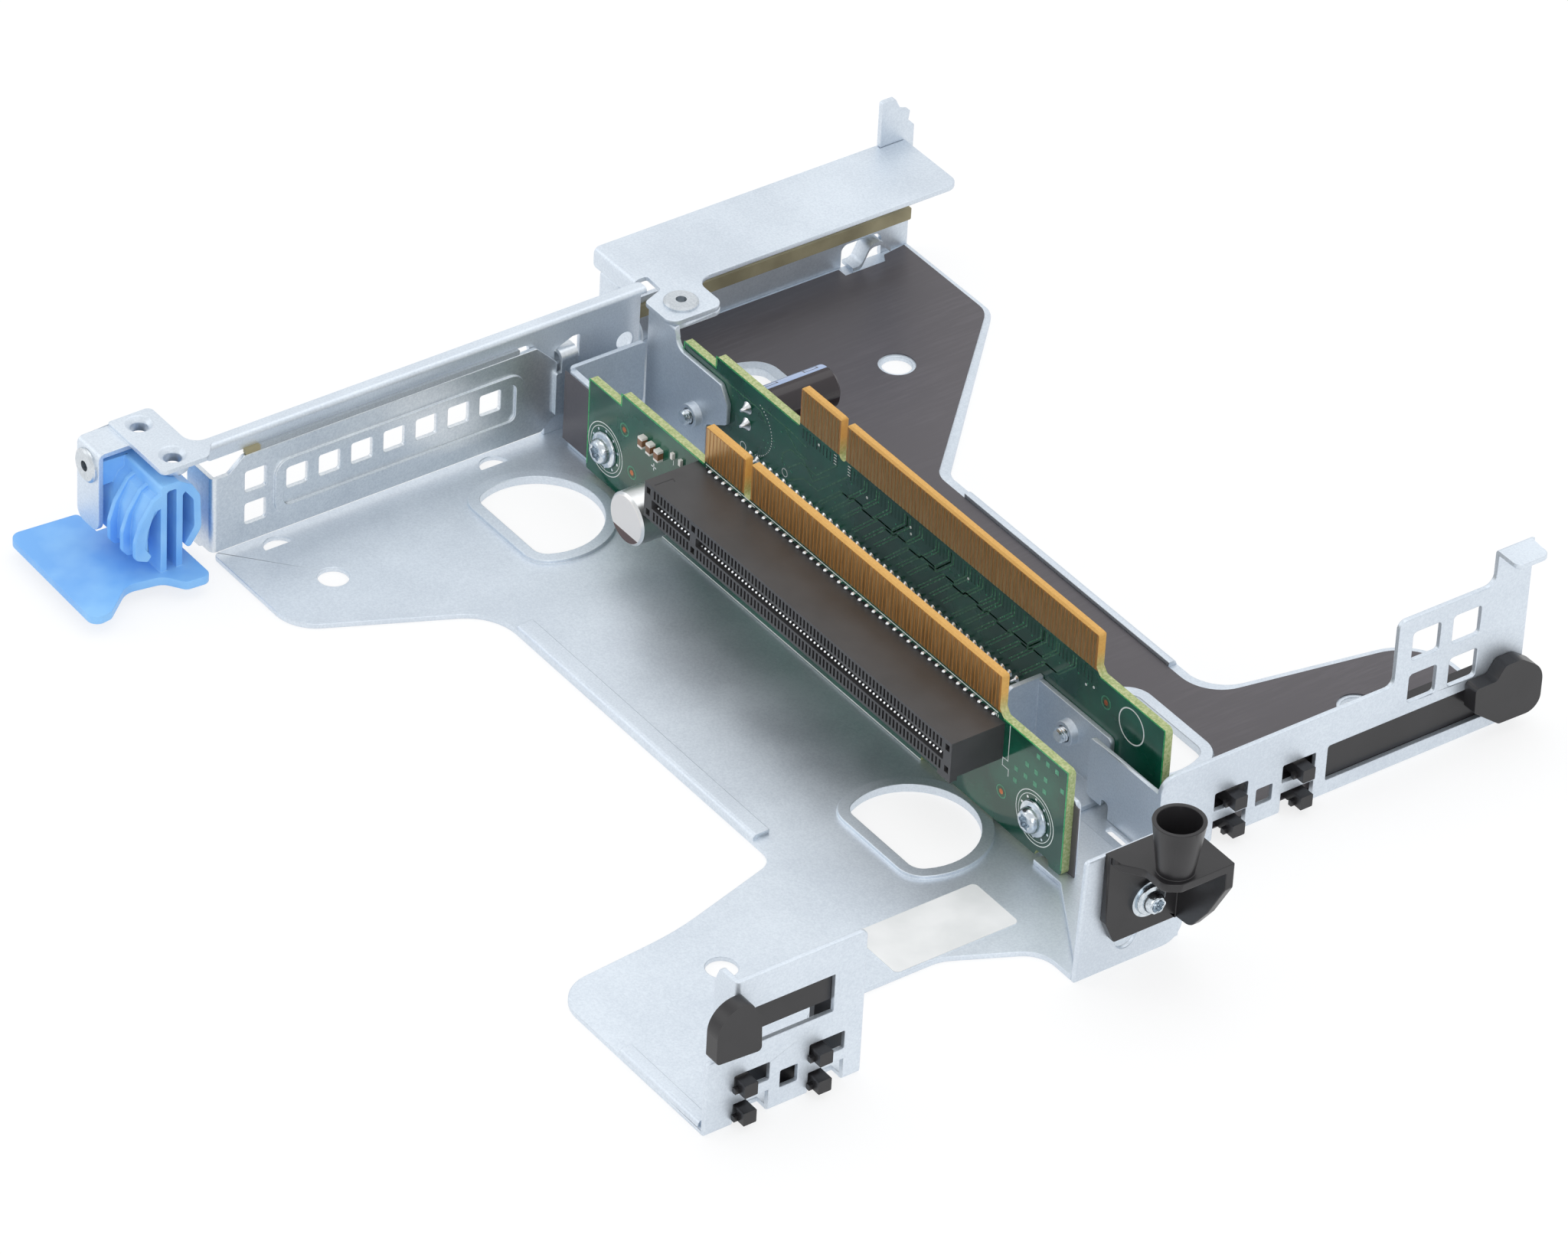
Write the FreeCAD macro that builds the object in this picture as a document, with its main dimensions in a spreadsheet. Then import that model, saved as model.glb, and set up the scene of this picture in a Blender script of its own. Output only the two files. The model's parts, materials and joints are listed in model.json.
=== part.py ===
import FreeCAD, Part
import Sketcher
import math
import os
import re

from FreeCAD import Placement, Rotation, Vector

# Riser cage bracket: a folded steel tray that holds two riser boards on edge.
# X runs along the boards to the front, Y runs across them, Z is up.
# The origin is on the underside of the tray, below the outer face of the left board,
# where its row of edge contacts begins.

SIZES = [
    # Stock
    ("sheet", 1.0),
    ("bend", 0.5),
    ("film", 0.25),
    ("board_thick", 1.57),
    ("play", 0.1),
    # Tray floor, left side
    ("tail_left_x", -49.0),
    ("tail_left_y", -69.0),
    ("tail_left_corner_x", -23.9),
    ("neck_left_rear_x", -8.7),
    ("neck_left_y", -37.0),
    ("neck_left_front_x", 73.9),
    ("wing_left_bend_x", 80.8),
    ("wing_left_bend_y", -62.0),
    ("wing_left_corner_x", 83.0),
    ("wing_left_y", -88.2),
    # Tray floor, right side
    ("tail_right_x", -64.0),
    ("tail_step_y", 20.0),
    ("tail_right_y", 91.0),
    ("tail_right_corner_x", -36.7),
    ("neck_right_rear_x", 0.5),
    ("neck_right_y", 53.8),
    ("neck_right_front_x", 75.6),
    ("wing_right_corner_x", 83.3),
    ("wing_right_y", 94.7),
    # Tray floor, front
    ("panel_left_x", 126.2),
    ("panel_left_end_y", -57.3),
    ("front_bay_x", 110.0),
    ("front_bay_end_y", -29.0),
    ("wall_x", 126.5),
    ("wall_start_y", -13.8),
    ("wall_end_y", 8.6),
    ("wall_inset_x", 113.0),
    ("panel_right_x", 108.6),
    # Hems and holes of the floor
    ("hem_width", 3.5),
    ("hem_right_width", 1.8),
    ("hem_left_start_x", -2.5),
    ("hem_left_end_x", 67.7),
    ("hem_right_start_x", 7.2),
    ("hem_right_end_x", 66.4),
    ("tool_hole_d", 5.6),
    ("tool_hole_rear_x", -32.2),
    ("tool_hole_front_x", 92.7),
    ("tool_hole_rear_left_y", -55.0),
    ("tool_hole_front_left_y", -61.0),
    ("tool_hole_rear_right_y", 66.2),
    ("tool_hole_front_right_y", 72.5),
    ("vent_r", 11.6),
    ("vent_flat", 6.7),
    ("vent_corner", 3.0),
    ("vent_rim", 2.2),
    ("vent_rise", 0.7),
    ("vent_front_x", 79.6),
    ("vent_front_left_y", -12.4),
    ("vent_front_right_y", 35.2),
    ("vent_rear_left_x", -27.6),
    ("vent_rear_left_y", -14.9),
    ("vent_rear_right_x", -34.0),
    ("vent_rear_right_y", 38.0),
    ("moon_x", -45.0),
    ("moon_r", 2.75),
    ("moon_outer_y", -57.9),
    ("moon_inner_y", -12.5),
    # Front panels of the tray
    ("panel_left_height", 29.5),
    ("panel_left_step_y", -83.2),
    ("panel_left_step_z", 15.0),
    ("panel_flange", 4.8),
    ("panel_right_y", 16.8),
    ("panel_right_height", 17.7),
    ("panel_right_step_y", 66.3),
    ("panel_right_window_top", 31.0),
    ("panel_right_ear_y", 87.0),
    ("panel_right_ear_height", 38.0),
    ("panel_tab", 5.1),
    ("end_plate_x", 89.0),
    ("end_plate_height", 14.6),
    ("wall_height", 24.6),
    # Clip slots shared by the panels and the card guides
    ("clip_slot_upper_z", 6.6),
    ("clip_slot_upper_height", 3.7),
    ("clip_slot_lower_height", 4.5),
    ("clip_slot_width", 7.0),
    ("clip_left_outer_y", -82.7),
    ("clip_left_inner_y", -67.8),
    ("clip_right_inner_y", 28.7),
    ("clip_right_outer_y", 43.2),
    ("clip_width", 2.6),
    ("clip_reach", 2.4),
    ("clip_eye", 3.5),
    ("strip_left_start_y", -81.5),
    ("strip_left_end_y", -63.4),
    ("strip_left_z", 15.4),
    ("strip_left_height", 7.6),
    ("strip_right_start_y", 52.8),
    ("strip_right_end_y", 87.9),
    ("strip_right_z", 3.3),
    ("strip_right_height", 7.3),
    # Rear wall of the tray, behind the right slot
    ("rear_wall_height", 10.6),
    ("rear_side_height", 19.2),
    ("rear_side_y", 22.2),
    ("rear_side_reach", 13.0),
    ("rear_spring_y", 76.0),
    ("rear_ear_y", 85.0),
    ("rear_ear_height", 34.0),
    ("gasket_z", 6.7),
    ("gasket_height", 2.6),
    ("gasket_thick", 0.8),
    # Rear arm with the latch plate
    ("arm_x", -48.0),
    ("arm_top", 24.8),
    ("arm_bottom", 21.8),
    ("arm_flange", 2.6),
    ("arm_end_y", 21.5),
    ("arm_post_y", 0.0),
    ("arm_left_y", -71.0),
    ("latch_plate_rear_x", -63.8),
    ("latch_plate_front_x", -46.0),
    ("latch_plate_right_y", -72.6),
    ("latch_plate_left_y", -81.3),
    ("latch_hole_d", 3.2),
    ("latch_collar_d", 5.7),
    ("latch_collar_length", 2.6),
    ("latch_rim_d", 5.0),
    ("latch_rim_depth", 0.8),
    ("strap_step", 0.7),
    ("latch_hole_rear_x", -60.4),
    ("latch_hole_front_x", -49.7),
    ("latch_hole_y", -77.0),
    ("strap_y", -87.5),
    ("strap_width", 7.0),
    ("strap_bottom", 7.5),
    ("strap_rivet_z", 20.1),
    ("post_hole_d", 3.5),
    ("post_hole_y", 17.0),
    ("post_hole_z", 15.1),
    # Slot filler bracket
    ("filler_x", -47.0),
    ("filler_thick", 0.9),
    ("filler_bottom", 2.7),
    ("filler_height", 18.4),
    ("filler_left_y", -70.6),
    ("filler_right_y", 1.7),
    ("filler_vent", 4.4),
    ("filler_vent_pitch", 6.75),
    ("filler_vent_y", -55.2),
    ("filler_vent_z", 10.9),
    ("filler_frame_start_y", -57.8),
    ("filler_frame_end_y", -5.5),
    ("filler_frame_z", 6.0),
    ("filler_frame_height", 11.5),
    ("filler_frame_width", 1.8),
    ("filler_frame_rise", 0.5),
    # Carriers that hold the boards
    ("carrier_seam_y", 12.5),
    ("carrier_left_rear_x", -44.0),
    ("carrier_left_front_x", 105.0),
    ("carrier_left_height", 17.0),
    ("carrier_left_middle", 13.5),
    ("carrier_flange_y", 18.0),
    ("carrier_right_rear_x", -45.0),
    ("carrier_right_front_x", 91.0),
    ("carrier_right_rear_height", 19.5),
    ("carrier_right_front_height", 14.0),
    # Boards and their edge contacts
    ("board_bottom", 2.0),
    ("board_rear_x", -34.8),
    ("board_front_x", 104.4),
    ("board_low_width", 10.0),
    ("board_low_top", 21.2),
    ("board_top", 23.7),
    ("board_edge_top", 31.9),
    ("board_edge_length", 85.2),
    ("board_key_x", 11.65),
    ("board_key_width", 1.9),
    ("board_right_y", 20.7),
    ("board_right_shift", -0.6),
    ("contact_pitch", 1.0),
    ("contact_width", 0.7),
    ("contact_thick", 0.05),
    ("contact_bottom", 24.3),
    ("contact_rim", 0.6),
    ("board_bevel_height", 0.45),
    ("board_bevel_depth", 0.3),
    # Screws that hold the boards
    ("screw_d", 2.9),
    ("screw_head_d", 6.8),
    ("screw_head_height", 2.4),
    ("screw_recess_d", 2.8),
    ("screw_hole_d", 3.2),
    ("screw_z", 9.2),
    ("screw_rear_x", -29.2),
    ("screw_left_front_x", 96.4),
    ("screw_right_front_x", 80.9),
    ("screw_length", 5.6),
    ("boss_d", 4.6),
    ("boss_length", 1.6),
    # Slot connectors
    ("slot_length", 89.0),
    ("slot_depth", 11.0),
    ("slot_height", 7.3),
    ("slot_left_x", -2.2),
    ("slot_left_z", 15.6),
    ("slot_right_x", -18.3),
    ("slot_right_z", 3.3),
    ("slot_mouth", 1.8),
    ("slot_mouth_depth", 8.0),
    ("slot_end_wall", 2.2),
    ("slot_key_x", 13.65),
    ("slot_key_width", 1.7),
    ("slot_cell_pitch", 1.0),
    ("slot_cell_width", 0.5),
    ("slot_cell_height", 1.8),
    ("slot_cell_depth", 1.5),
    ("slot_first_x", 3.0),
    ("slot_foot", 0.8),
    ("pin_pitch", 2.0),
    ("pin_width", 0.5),
    ("pin_length", 1.4),
    # Board components
    ("can_d", 8.0),
    ("can_left_d", 10.0),
    ("can_left_length", 11.5),
    ("can_left_x", -6.7),
    ("can_left_z", 12.1),
    ("can_right_length", 16.2),
    ("can_right_x", -16.0),
    ("can_right_z", 16.5),
    ("chip_length", 2.2),
    ("chip_width", 1.3),
    ("chip_height", 1.2),
    ("chip_x", -18.2),
    ("chip_z", 18.0),
    ("chip_pitch", 2.4),
    # Cover over the right slot
    ("cover_front_x", -46.0),
    ("cover_left_y", 21.0),
    ("cover_right_y", 89.0),
    ("cover_bottom", 23.5),
    ("cover_side", 4.0),
    ("cover_side_reach", 12.5),
    ("cover_tab_front_x", -37.0),
    ("cover_tab_left_y", 18.9),
    ("cover_tab_right_y", 30.5),
    ("cover_rivet_x", -41.5),
    ("cover_rivet_y", 24.2),
    ("rivet_d", 6.4),
    ("rivet_head", 0.7),
    ("rivet_shank_d", 3.2),
    ("rivet_bore_d", 2.0),
    # Funnel guide at the front
    ("guide_plate", 1.6),
    ("guide_left_y", -9.4),
    ("guide_right_y", 7.0),
    ("guide_bottom", 7.0),
    ("guide_top", 25.4),
    ("guide_reach", 13.5),
    ("funnel_x", 136.1),
    ("funnel_y", -2.3),
    ("funnel_base_d", 6.4),
    ("funnel_top_d", 9.2),
    ("funnel_wall", 0.8),
    ("funnel_height", 10.2),
    ("guide_screw_y", -1.0),
    ("guide_screw_z", 13.9),
    ("washer_d", 7.0),
    ("washer_thick", 0.6),
    # Release latch
    ("tab_top", 4.0),
    ("tab_thick", 1.7),
    ("latch_rear_x", -62.0),
    ("latch_front_x", -45.6),
    ("latch_top", 22.0),
    ("latch_wall", 1.3),
    ("rib_thick", 1.0),
    ("rib_pitch", 4.1),
    # Card guides and label
    ("guide_strip", 3.0),
    ("knob_reach", 3.0),
    ("label_x", 97.0),
    ("label_y", -37.8),
    ("label_length", 25.4),
    ("label_width", 12.5),
    ("label_thick", 0.1),
]

doc = FreeCAD.newDocument("riser_cage_bracket")
sheet_table = doc.addObject("Spreadsheet::Sheet", "sizes")
for row, (alias, value) in enumerate(SIZES, start=1):
    sheet_table.set(f"A{row}", alias)
    sheet_table.set(f"B{row}", str(value))
    sheet_table.setAlias(f"B{row}", alias)
doc.recompute()


class Values:
    """The sheet's numbers, read by name."""

    def __init__(self):
        for alias, _ in SIZES:
            setattr(self, alias, float(getattr(sheet_table, alias)))


s = Values()
nodes = []
NORMAL_SIGN = {"XY": 1, "XZ": -1, "YZ": 1}


def bound(text):
    """An expression on the sheet's names, such as arm_top - sheet."""
    return re.sub(r"[a-z_]+[a-z_0-9]*", lambda word: "sizes." + word.group(0), text)


def loop(points):
    """Lines through the corner points, where a third number rounds that corner."""
    corners = [Vector(point[0], point[1], 0) for point in points]
    radii = [point[2] if len(point) > 2 else 0 for point in points]
    starts, ends, arcs = [], [], []
    for i, here in enumerate(corners):
        back = (corners[i - 1] - here).normalize()
        onward = (corners[(i + 1) % len(corners)] - here).normalize()
        if radii[i] == 0:
            starts.append(here)
            ends.append(here)
            arcs.append(None)
            continue
        half = back.getAngle(onward) / 2
        inward = (back + onward).normalize()
        start = here + back * (radii[i] / math.tan(half))
        end = here + onward * (radii[i] / math.tan(half))
        middle = here + inward * (radii[i] / math.sin(half) - radii[i])
        starts.append(start)
        ends.append(end)
        arcs.append(Part.Arc(start, middle, end))
    edges = []
    for i, arc in enumerate(arcs):
        if arc:
            edges.append(arc)
        target = starts[(i + 1) % len(starts)]
        if ends[i].distanceToPoint(target) > 1e-6:
            edges.append(Part.LineSegment(ends[i], target))
    return edges


def rectangle(x0, y0, x1, y1, radius=0):
    """A rectangle between two corners, its four corners rounded alike."""
    return loop([(x0, y0, radius), (x1, y0, radius), (x1, y1, radius), (x0, y1, radius)])


def round_hole(x, y, diameter):
    """A full circle."""
    return [Part.Circle(Vector(x, y, 0), Vector(0, 0, 1), diameter / 2)]


def flat_sided(x, y, radius, flat, corner, side):
    """A circle cut by a chord at the distance flat, towards side, with rounded corners."""
    across = math.sqrt((radius - corner) ** 2 - (flat - corner) ** 2)
    edges = [Part.LineSegment(Vector(x - across, y + side * flat, 0), Vector(x + across, y + side * flat, 0))]
    touch = []
    for hand in (1, -1):
        centre = Vector(hand * across, side * (flat - corner), 0)
        out = Vector(centre).normalize()
        flat_point = centre + Vector(0, side * corner, 0)
        round_point = out * radius
        middle = centre + (out + Vector(0, side, 0)).normalize() * corner
        place = Vector(x, y, 0)
        edges.append(Part.Arc(place + flat_point, place + middle, place + round_point))
        touch.append(place + round_point)
    edges.append(Part.Arc(touch[0], Vector(x, y - side * radius, 0), touch[1]))
    return edges


def new_body(label):
    """An empty body, kept as a node under its label."""
    body = doc.addObject("PartDesign::Body", label)
    body.Label = label
    nodes.append(body)
    return body


def sketch_on(body, plane, low, high, loops):
    """A sketch halfway between two levels of a plane's own axis."""
    sketch = body.newObject("Sketcher::SketchObject", body.Name + "_sketch")
    base = next(item for item in body.Origin.OriginFeatures if item.Role == plane + "_Plane")
    sketch.AttachmentSupport = [(base, "")]
    sketch.MapMode = "FlatFace"
    sign = "" if NORMAL_SIGN[plane] > 0 else "-1 * "
    sketch.setExpression("AttachmentOffset.Base.z", f"{sign}({bound(low)} + {bound(high)}) / 2")
    for edges in loops:
        first = sketch.GeometryCount
        sketch.addGeometry(edges, False)
        if len(edges) > 1:
            join_ends(sketch, first, len(edges))
    return sketch


def join_ends(sketch, first, count):
    """Coincident constraints between neighbours of one closed loop."""
    joints = []
    taken = set()
    ends = [(i, end, sketch.getPoint(i, end)) for i in range(first, first + count) for end in (1, 2)]
    for i, end, point in ends:
        for other, other_end, other_point in ends:
            is_new = i < other and (i, end) not in taken and (other, other_end) not in taken
            if is_new and point.distanceToPoint(other_point) < 1e-5:
                joints.append(Sketcher.Constraint("Coincident", i, end, other, other_end))
                taken.update({(i, end), (other, other_end)})
    sketch.addConstraint(joints)


def refresh(*items):
    """Recomputes single objects, in order."""
    for item in items:
        item.recompute()


def feature(kind, body, plane, low, high, loops):
    """A pad or pocket between two levels of a plane's own axis."""
    sketch = sketch_on(body, plane, low, high, loops)
    step = body.newObject("PartDesign::" + kind, body.Name + "_" + kind.lower())
    step.Profile = sketch
    step.Midplane = True
    step.Refine = False
    step.setExpression("Length", f"({bound(high)}) - ({bound(low)})")
    refresh(sketch, step, body)
    return step


def pad(body, plane, low, high, *loops):
    """Adds a slab of the loops to the body."""
    return feature("Pad", body, plane, low, high, loops)


def pocket(body, plane, low, high, *loops):
    """Cuts the loops out of the body and makes sure that something was cut."""
    before = body.Shape.Volume
    step = feature("Pocket", body, plane, low, high, loops)
    if body.Shape.Volume > before - 1e-6:
        raise RuntimeError(body.Label + ": a pocket cut nothing")
    return step


def round_edges(body, radius, *wanted):
    """Rounds the straight edges whose ends both lie at the wanted x, y or z values."""
    body.Tip.Refine = True
    refresh(body.Tip, body)
    names = []
    for number, edge in enumerate(body.Shape.Edges, start=1):
        ends = [vertex.Point for vertex in edge.Vertexes]
        if len(ends) < 2 or edge.Curve.TypeId != "Part::GeomLine":
            continue
        for place in wanted:
            if all(abs(getattr(end, axis) - at) < 1e-3 for end in ends for axis, at in place.items()):
                names.append(f"Edge{number}")
                break
    if not names:
        raise RuntimeError(body.Label + ": no edge to round")
    tip = body.Tip
    step = body.newObject("PartDesign::Fillet", body.Name + "_round")
    step.Base = (tip, names)
    step.Refine = False
    step.setExpression("Radius", bound(radius))
    refresh(step, body)
    return step


def solid_node(label, shape):
    """A node whose shape is made with solids and booleans."""
    item = doc.addObject("Part::Feature", label)
    item.Label = label
    item.Shape = shape
    nodes.append(item)
    return item


def block(x0, y0, z0, x1, y1, z1):
    """A box between two corners."""
    return Part.makeBox(x1 - x0, y1 - y0, z1 - z0, Vector(x0, y0, z0))


def turned(profile, base, direction):
    """A solid of revolution from radius and height pairs, set up along a direction."""
    points = [Vector(radius, 0, height) for radius, height in profile]
    face = Part.Face(Part.makePolygon(points + points[:1]))
    solid = face.revolve(Vector(0, 0, 0), Vector(0, 0, 1), 360)
    solid.Placement = Placement(base, Rotation(Vector(0, 0, 1), direction))
    return solid


def vents(grow=0):
    """The four flat-sided openings of the floor as centre x, centre y and side of the flat."""
    places = {
        "rear_left": (s.vent_rear_left_x, s.vent_rear_left_y, -1),
        "front_left": (s.vent_front_x, s.vent_front_left_y, -1),
        "front_right": (s.vent_front_x, s.vent_front_right_y, 1),
        "rear_right": (s.vent_rear_right_x, s.vent_rear_right_y, 1),
    }
    return {
        name: flat_sided(x, y, s.vent_r + grow, s.vent_flat + grow, s.vent_corner + grow, side)
        for name, (x, y, side) in places.items()
    }


def tool_holes():
    """Centres of the four round holes of the floor, the right-hand pair last."""
    return [
        (s.tool_hole_rear_x, s.tool_hole_rear_left_y),
        (s.tool_hole_front_x, s.tool_hole_front_left_y),
        (s.tool_hole_rear_x, s.tool_hole_rear_right_y),
        (s.tool_hole_front_x, s.tool_hole_front_right_y),
    ]


def floor_outline():
    """The tray's floor up to its folds, anticlockwise from the rear left corner."""
    return loop([
        (s.tail_left_x, s.tail_left_y, 1.2),
        (s.tail_left_corner_x, s.tail_left_y, 8.3),
        (s.neck_left_rear_x, s.neck_left_y, 10),
        (s.neck_left_front_x, s.neck_left_y, 4.5),
        (s.wing_left_bend_x, s.wing_left_bend_y, 60),
        (s.wing_left_corner_x, s.wing_left_y, 7.5),
        (s.panel_left_x - s.sheet, s.wing_left_y),
        (s.panel_left_x - s.sheet, s.panel_left_end_y),
        (s.front_bay_x, s.panel_left_end_y, 2.5),
        (s.front_bay_x, s.front_bay_end_y, 8),
        (s.front_bay_x + 7.5, s.wall_start_y, 6),
        (s.wall_x - s.sheet, s.wall_start_y),
        (s.wall_x - s.sheet, s.wall_end_y),
        (s.wall_inset_x, s.wall_end_y, 2),
        (s.panel_right_x - s.sheet, s.panel_right_y - 3),
        (s.panel_right_x - s.sheet, s.wing_right_y),
        (s.wing_right_corner_x, s.wing_right_y, 11),
        (s.neck_right_front_x, s.neck_right_y, 8),
        (s.neck_right_rear_x, s.neck_right_y, 5),
        (s.tail_right_corner_x, s.tail_right_y, 5),
        (s.tail_right_x + s.sheet, s.tail_right_y),
        (s.tail_right_x + s.sheet, s.rear_side_y),
        (s.tail_right_x, s.rear_side_y),
        (s.tail_right_x, s.tail_step_y),
        (s.tail_left_x, s.tail_step_y),
    ])


def clip_slots(outer_y, inner_y):
    """Four clip slots and the square eye between them, in Y and Z, of one front panel."""
    slots = []
    upper_top = s.clip_slot_upper_z + s.clip_slot_upper_height
    for y in (outer_y, inner_y):
        slots.append(rectangle(y, s.clip_slot_upper_z, y + s.clip_slot_width, upper_top, 0.3))
    eye_y = (outer_y + inner_y + s.clip_slot_width) / 2 - s.clip_eye / 2
    slots.append(rectangle(eye_y, 4.0, eye_y + s.clip_eye, 4.0 + s.clip_eye, 0.3))
    return slots


def clip_mouths(outer_y, inner_y):
    """The two lower clip slots, open at the floor."""
    mouths = []
    for y in (outer_y, inner_y):
        mouths.append(rectangle(y, -1.0, y + s.clip_slot_width, s.clip_slot_lower_height, 0))
    return mouths


def make_tray():
    """The tray's floor with its hems, rims and holes; its walls are nodes split off at the folds."""
    tray = new_body("base_tray")
    floor_holes = [round_hole(x, y, s.tool_hole_d) for x, y in tool_holes()]
    pad(tray, "XY", "0", "sheet", floor_outline(), *floor_holes, *vents().values())
    hems = {
        "left": rectangle(s.hem_left_start_x, s.neck_left_y, s.hem_left_end_x, s.neck_left_y + s.hem_width),
        "right": rectangle(s.hem_right_start_x, s.neck_right_y - s.hem_right_width,
                           s.hem_right_end_x, s.neck_right_y),
        "wing": rectangle(s.front_bay_x - 8, s.wing_left_y, s.panel_left_x - 2 * s.sheet,
                          s.wing_left_y + s.hem_width - 1),
    }
    for edges in hems.values():
        pad(tray, "XY", "sheet / 2", "2 * sheet", edges)
    inner, outer = vents(), vents(s.vent_rim)
    for name in inner:
        pad(tray, "XY", "sheet / 2", "sheet + vent_rise", outer[name], inner[name])
    for y in (s.moon_outer_y, s.moon_inner_y):
        top, bottom = Vector(s.moon_x, y + s.moon_r, 0), Vector(s.moon_x, y - s.moon_r, 0)
        moon = [Part.LineSegment(bottom, top), Part.Arc(top, Vector(s.moon_x - s.moon_r, y, 0), bottom)]
        pocket(tray, "XY", "-1 * sheet", "2 * sheet", moon)
    for panel_x, slot_ys in (
        (s.panel_left_x, (s.clip_left_outer_y, s.clip_left_inner_y)),
        (s.panel_right_x, (s.clip_right_inner_y, s.clip_right_outer_y)),
    ):
        for y in slot_ys:
            pocket(tray, "XY", "-1 * sheet", "2 * sheet",
                   rectangle(panel_x - 3 * s.sheet, y, panel_x, y + s.clip_slot_width))
    pocket(tray, "XY", "-1 * sheet", "1.5 * sheet",
           rectangle(s.end_plate_x + 8, s.panel_right_y - 2, s.panel_right_x - 2.5, s.panel_right_y - 0.5, 0.5))
    round_edges(tray, "0.9 * sheet",
                {"y": s.neck_left_y, "z": 2 * s.sheet}, {"y": s.neck_right_y, "z": 2 * s.sheet},
                {"y": s.wing_left_y, "z": 2 * s.sheet})


def make_left_front_panel():
    """The tray's left front panel with its side flange."""
    panel = new_body("left_front_panel")
    step_y, step_z = s.panel_left_step_y, s.panel_left_step_z
    outline = loop([
        (s.wing_left_y, 0), (s.panel_left_end_y, 0), (s.panel_left_end_y, s.panel_left_height, 1),
        (step_y, s.panel_left_height), (step_y, step_z), (s.wing_left_y, step_z, 1),
    ])
    window = rectangle(s.strip_left_start_y, s.strip_left_z, s.strip_left_end_y,
                       s.strip_left_z + s.strip_left_height)
    pad(panel, "YZ", "panel_left_x - sheet", "panel_left_x", outline, window,
        *clip_slots(s.clip_left_outer_y, s.clip_left_inner_y))
    pad(panel, "XZ", "panel_left_step_y", "panel_left_step_y + sheet", loop([
        (s.panel_left_x, step_z + 4), (s.panel_left_x, s.panel_left_height),
        (s.panel_left_x - s.panel_flange, s.panel_left_height, 0.8),
        (s.panel_left_x - s.panel_flange - 1.2, s.panel_left_height - 3, 0.5),
        (s.panel_left_x - s.panel_flange - 1.2, step_z + 4),
    ]))
    pocket(panel, "YZ", "panel_left_x - 2 * sheet", "panel_left_x + sheet",
           *clip_mouths(s.clip_left_outer_y, s.clip_left_inner_y))
    round_edges(panel, "0.9 * sheet", {"x": s.panel_left_x, "z": 0},
                {"x": s.panel_left_x, "y": s.panel_left_step_y})


def make_right_front_panel():
    """The tray's right front panel with its windows, ear and the plate beside the boards."""
    panel = new_body("right_front_panel")
    ear_y, ear_z = s.panel_right_ear_y, s.panel_right_ear_height
    outline = loop([
        (s.panel_right_y, 0), (s.wing_right_y, 0), (s.wing_right_y, ear_z), (ear_y, ear_z),
        (ear_y, s.panel_right_window_top, 2), (s.panel_right_step_y, s.panel_right_window_top, 1.6),
        (s.panel_right_step_y, s.panel_right_height, 1.6), (s.panel_right_y, s.panel_right_height, 3),
    ])
    window = rectangle(s.strip_right_start_y, s.strip_right_z, s.strip_right_end_y,
                       s.strip_right_z + s.strip_right_height, 0.5)
    panes = [
        rectangle(s.panel_right_step_y + 3.2 + 8.8 * column, s.panel_right_window_top - 18.1 + 8.9 * line,
                  s.panel_right_step_y + 9.3 + 8.8 * column, s.panel_right_window_top - 12.1 + 8.9 * line, 0.8)
        for column in (0, 1) for line in (0, 1)
    ]
    pad(panel, "YZ", "panel_right_x - sheet", "panel_right_x", outline, window, *panes,
        *clip_slots(s.clip_right_inner_y, s.clip_right_outer_y))
    pad(panel, "XY", "panel_right_ear_height - sheet", "panel_right_ear_height", loop([
        (s.panel_right_x - s.sheet, ear_y), (s.panel_right_x + s.panel_tab, ear_y, 1.5),
        (s.panel_right_x + s.panel_tab, s.wing_right_y - 0.7, 1.5), (s.panel_right_x - s.sheet, s.wing_right_y - 0.7),
    ]))
    pocket(panel, "YZ", "panel_right_x - 2 * sheet", "panel_right_x + sheet",
           *clip_mouths(s.clip_right_inner_y, s.clip_right_outer_y))
    pad(panel, "XZ", "panel_right_y", "panel_right_y + sheet", loop([
        (s.panel_right_x, s.sheet), (s.panel_right_x, s.end_plate_height),
        (s.end_plate_x, s.end_plate_height, 0.8), (s.end_plate_x, 2.6 * s.sheet, 1),
        (s.end_plate_x + 4, 2.6 * s.sheet), (s.end_plate_x + 4, 4.2 * s.sheet, 0.7),
        (s.end_plate_x + 6, 4.2 * s.sheet, 0.7), (s.end_plate_x + 6, s.sheet),
    ]))
    round_edges(panel, "0.9 * sheet", {"x": s.panel_right_x, "z": 0},
                {"x": s.panel_right_x - s.sheet, "z": s.panel_right_ear_height})


def make_front_wall():
    """The tray's front wall, which carries the funnel guide."""
    wall = new_body("front_wall")
    pad(wall, "YZ", "wall_x - sheet", "wall_x",
        loop([(s.wall_start_y, 0), (s.wall_end_y, 0, 4), (s.wall_end_y, s.wall_height, 1),
              (s.wall_start_y + 0.8, s.wall_height, 0.8)]),
        round_hole(s.guide_screw_y, s.guide_screw_z, s.screw_hole_d),
        round_hole(s.guide_screw_y - 2.5, 5.5, 4.6))
    round_edges(wall, "0.4 * sheet", {"x": s.wall_x, "z": 0})


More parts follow.
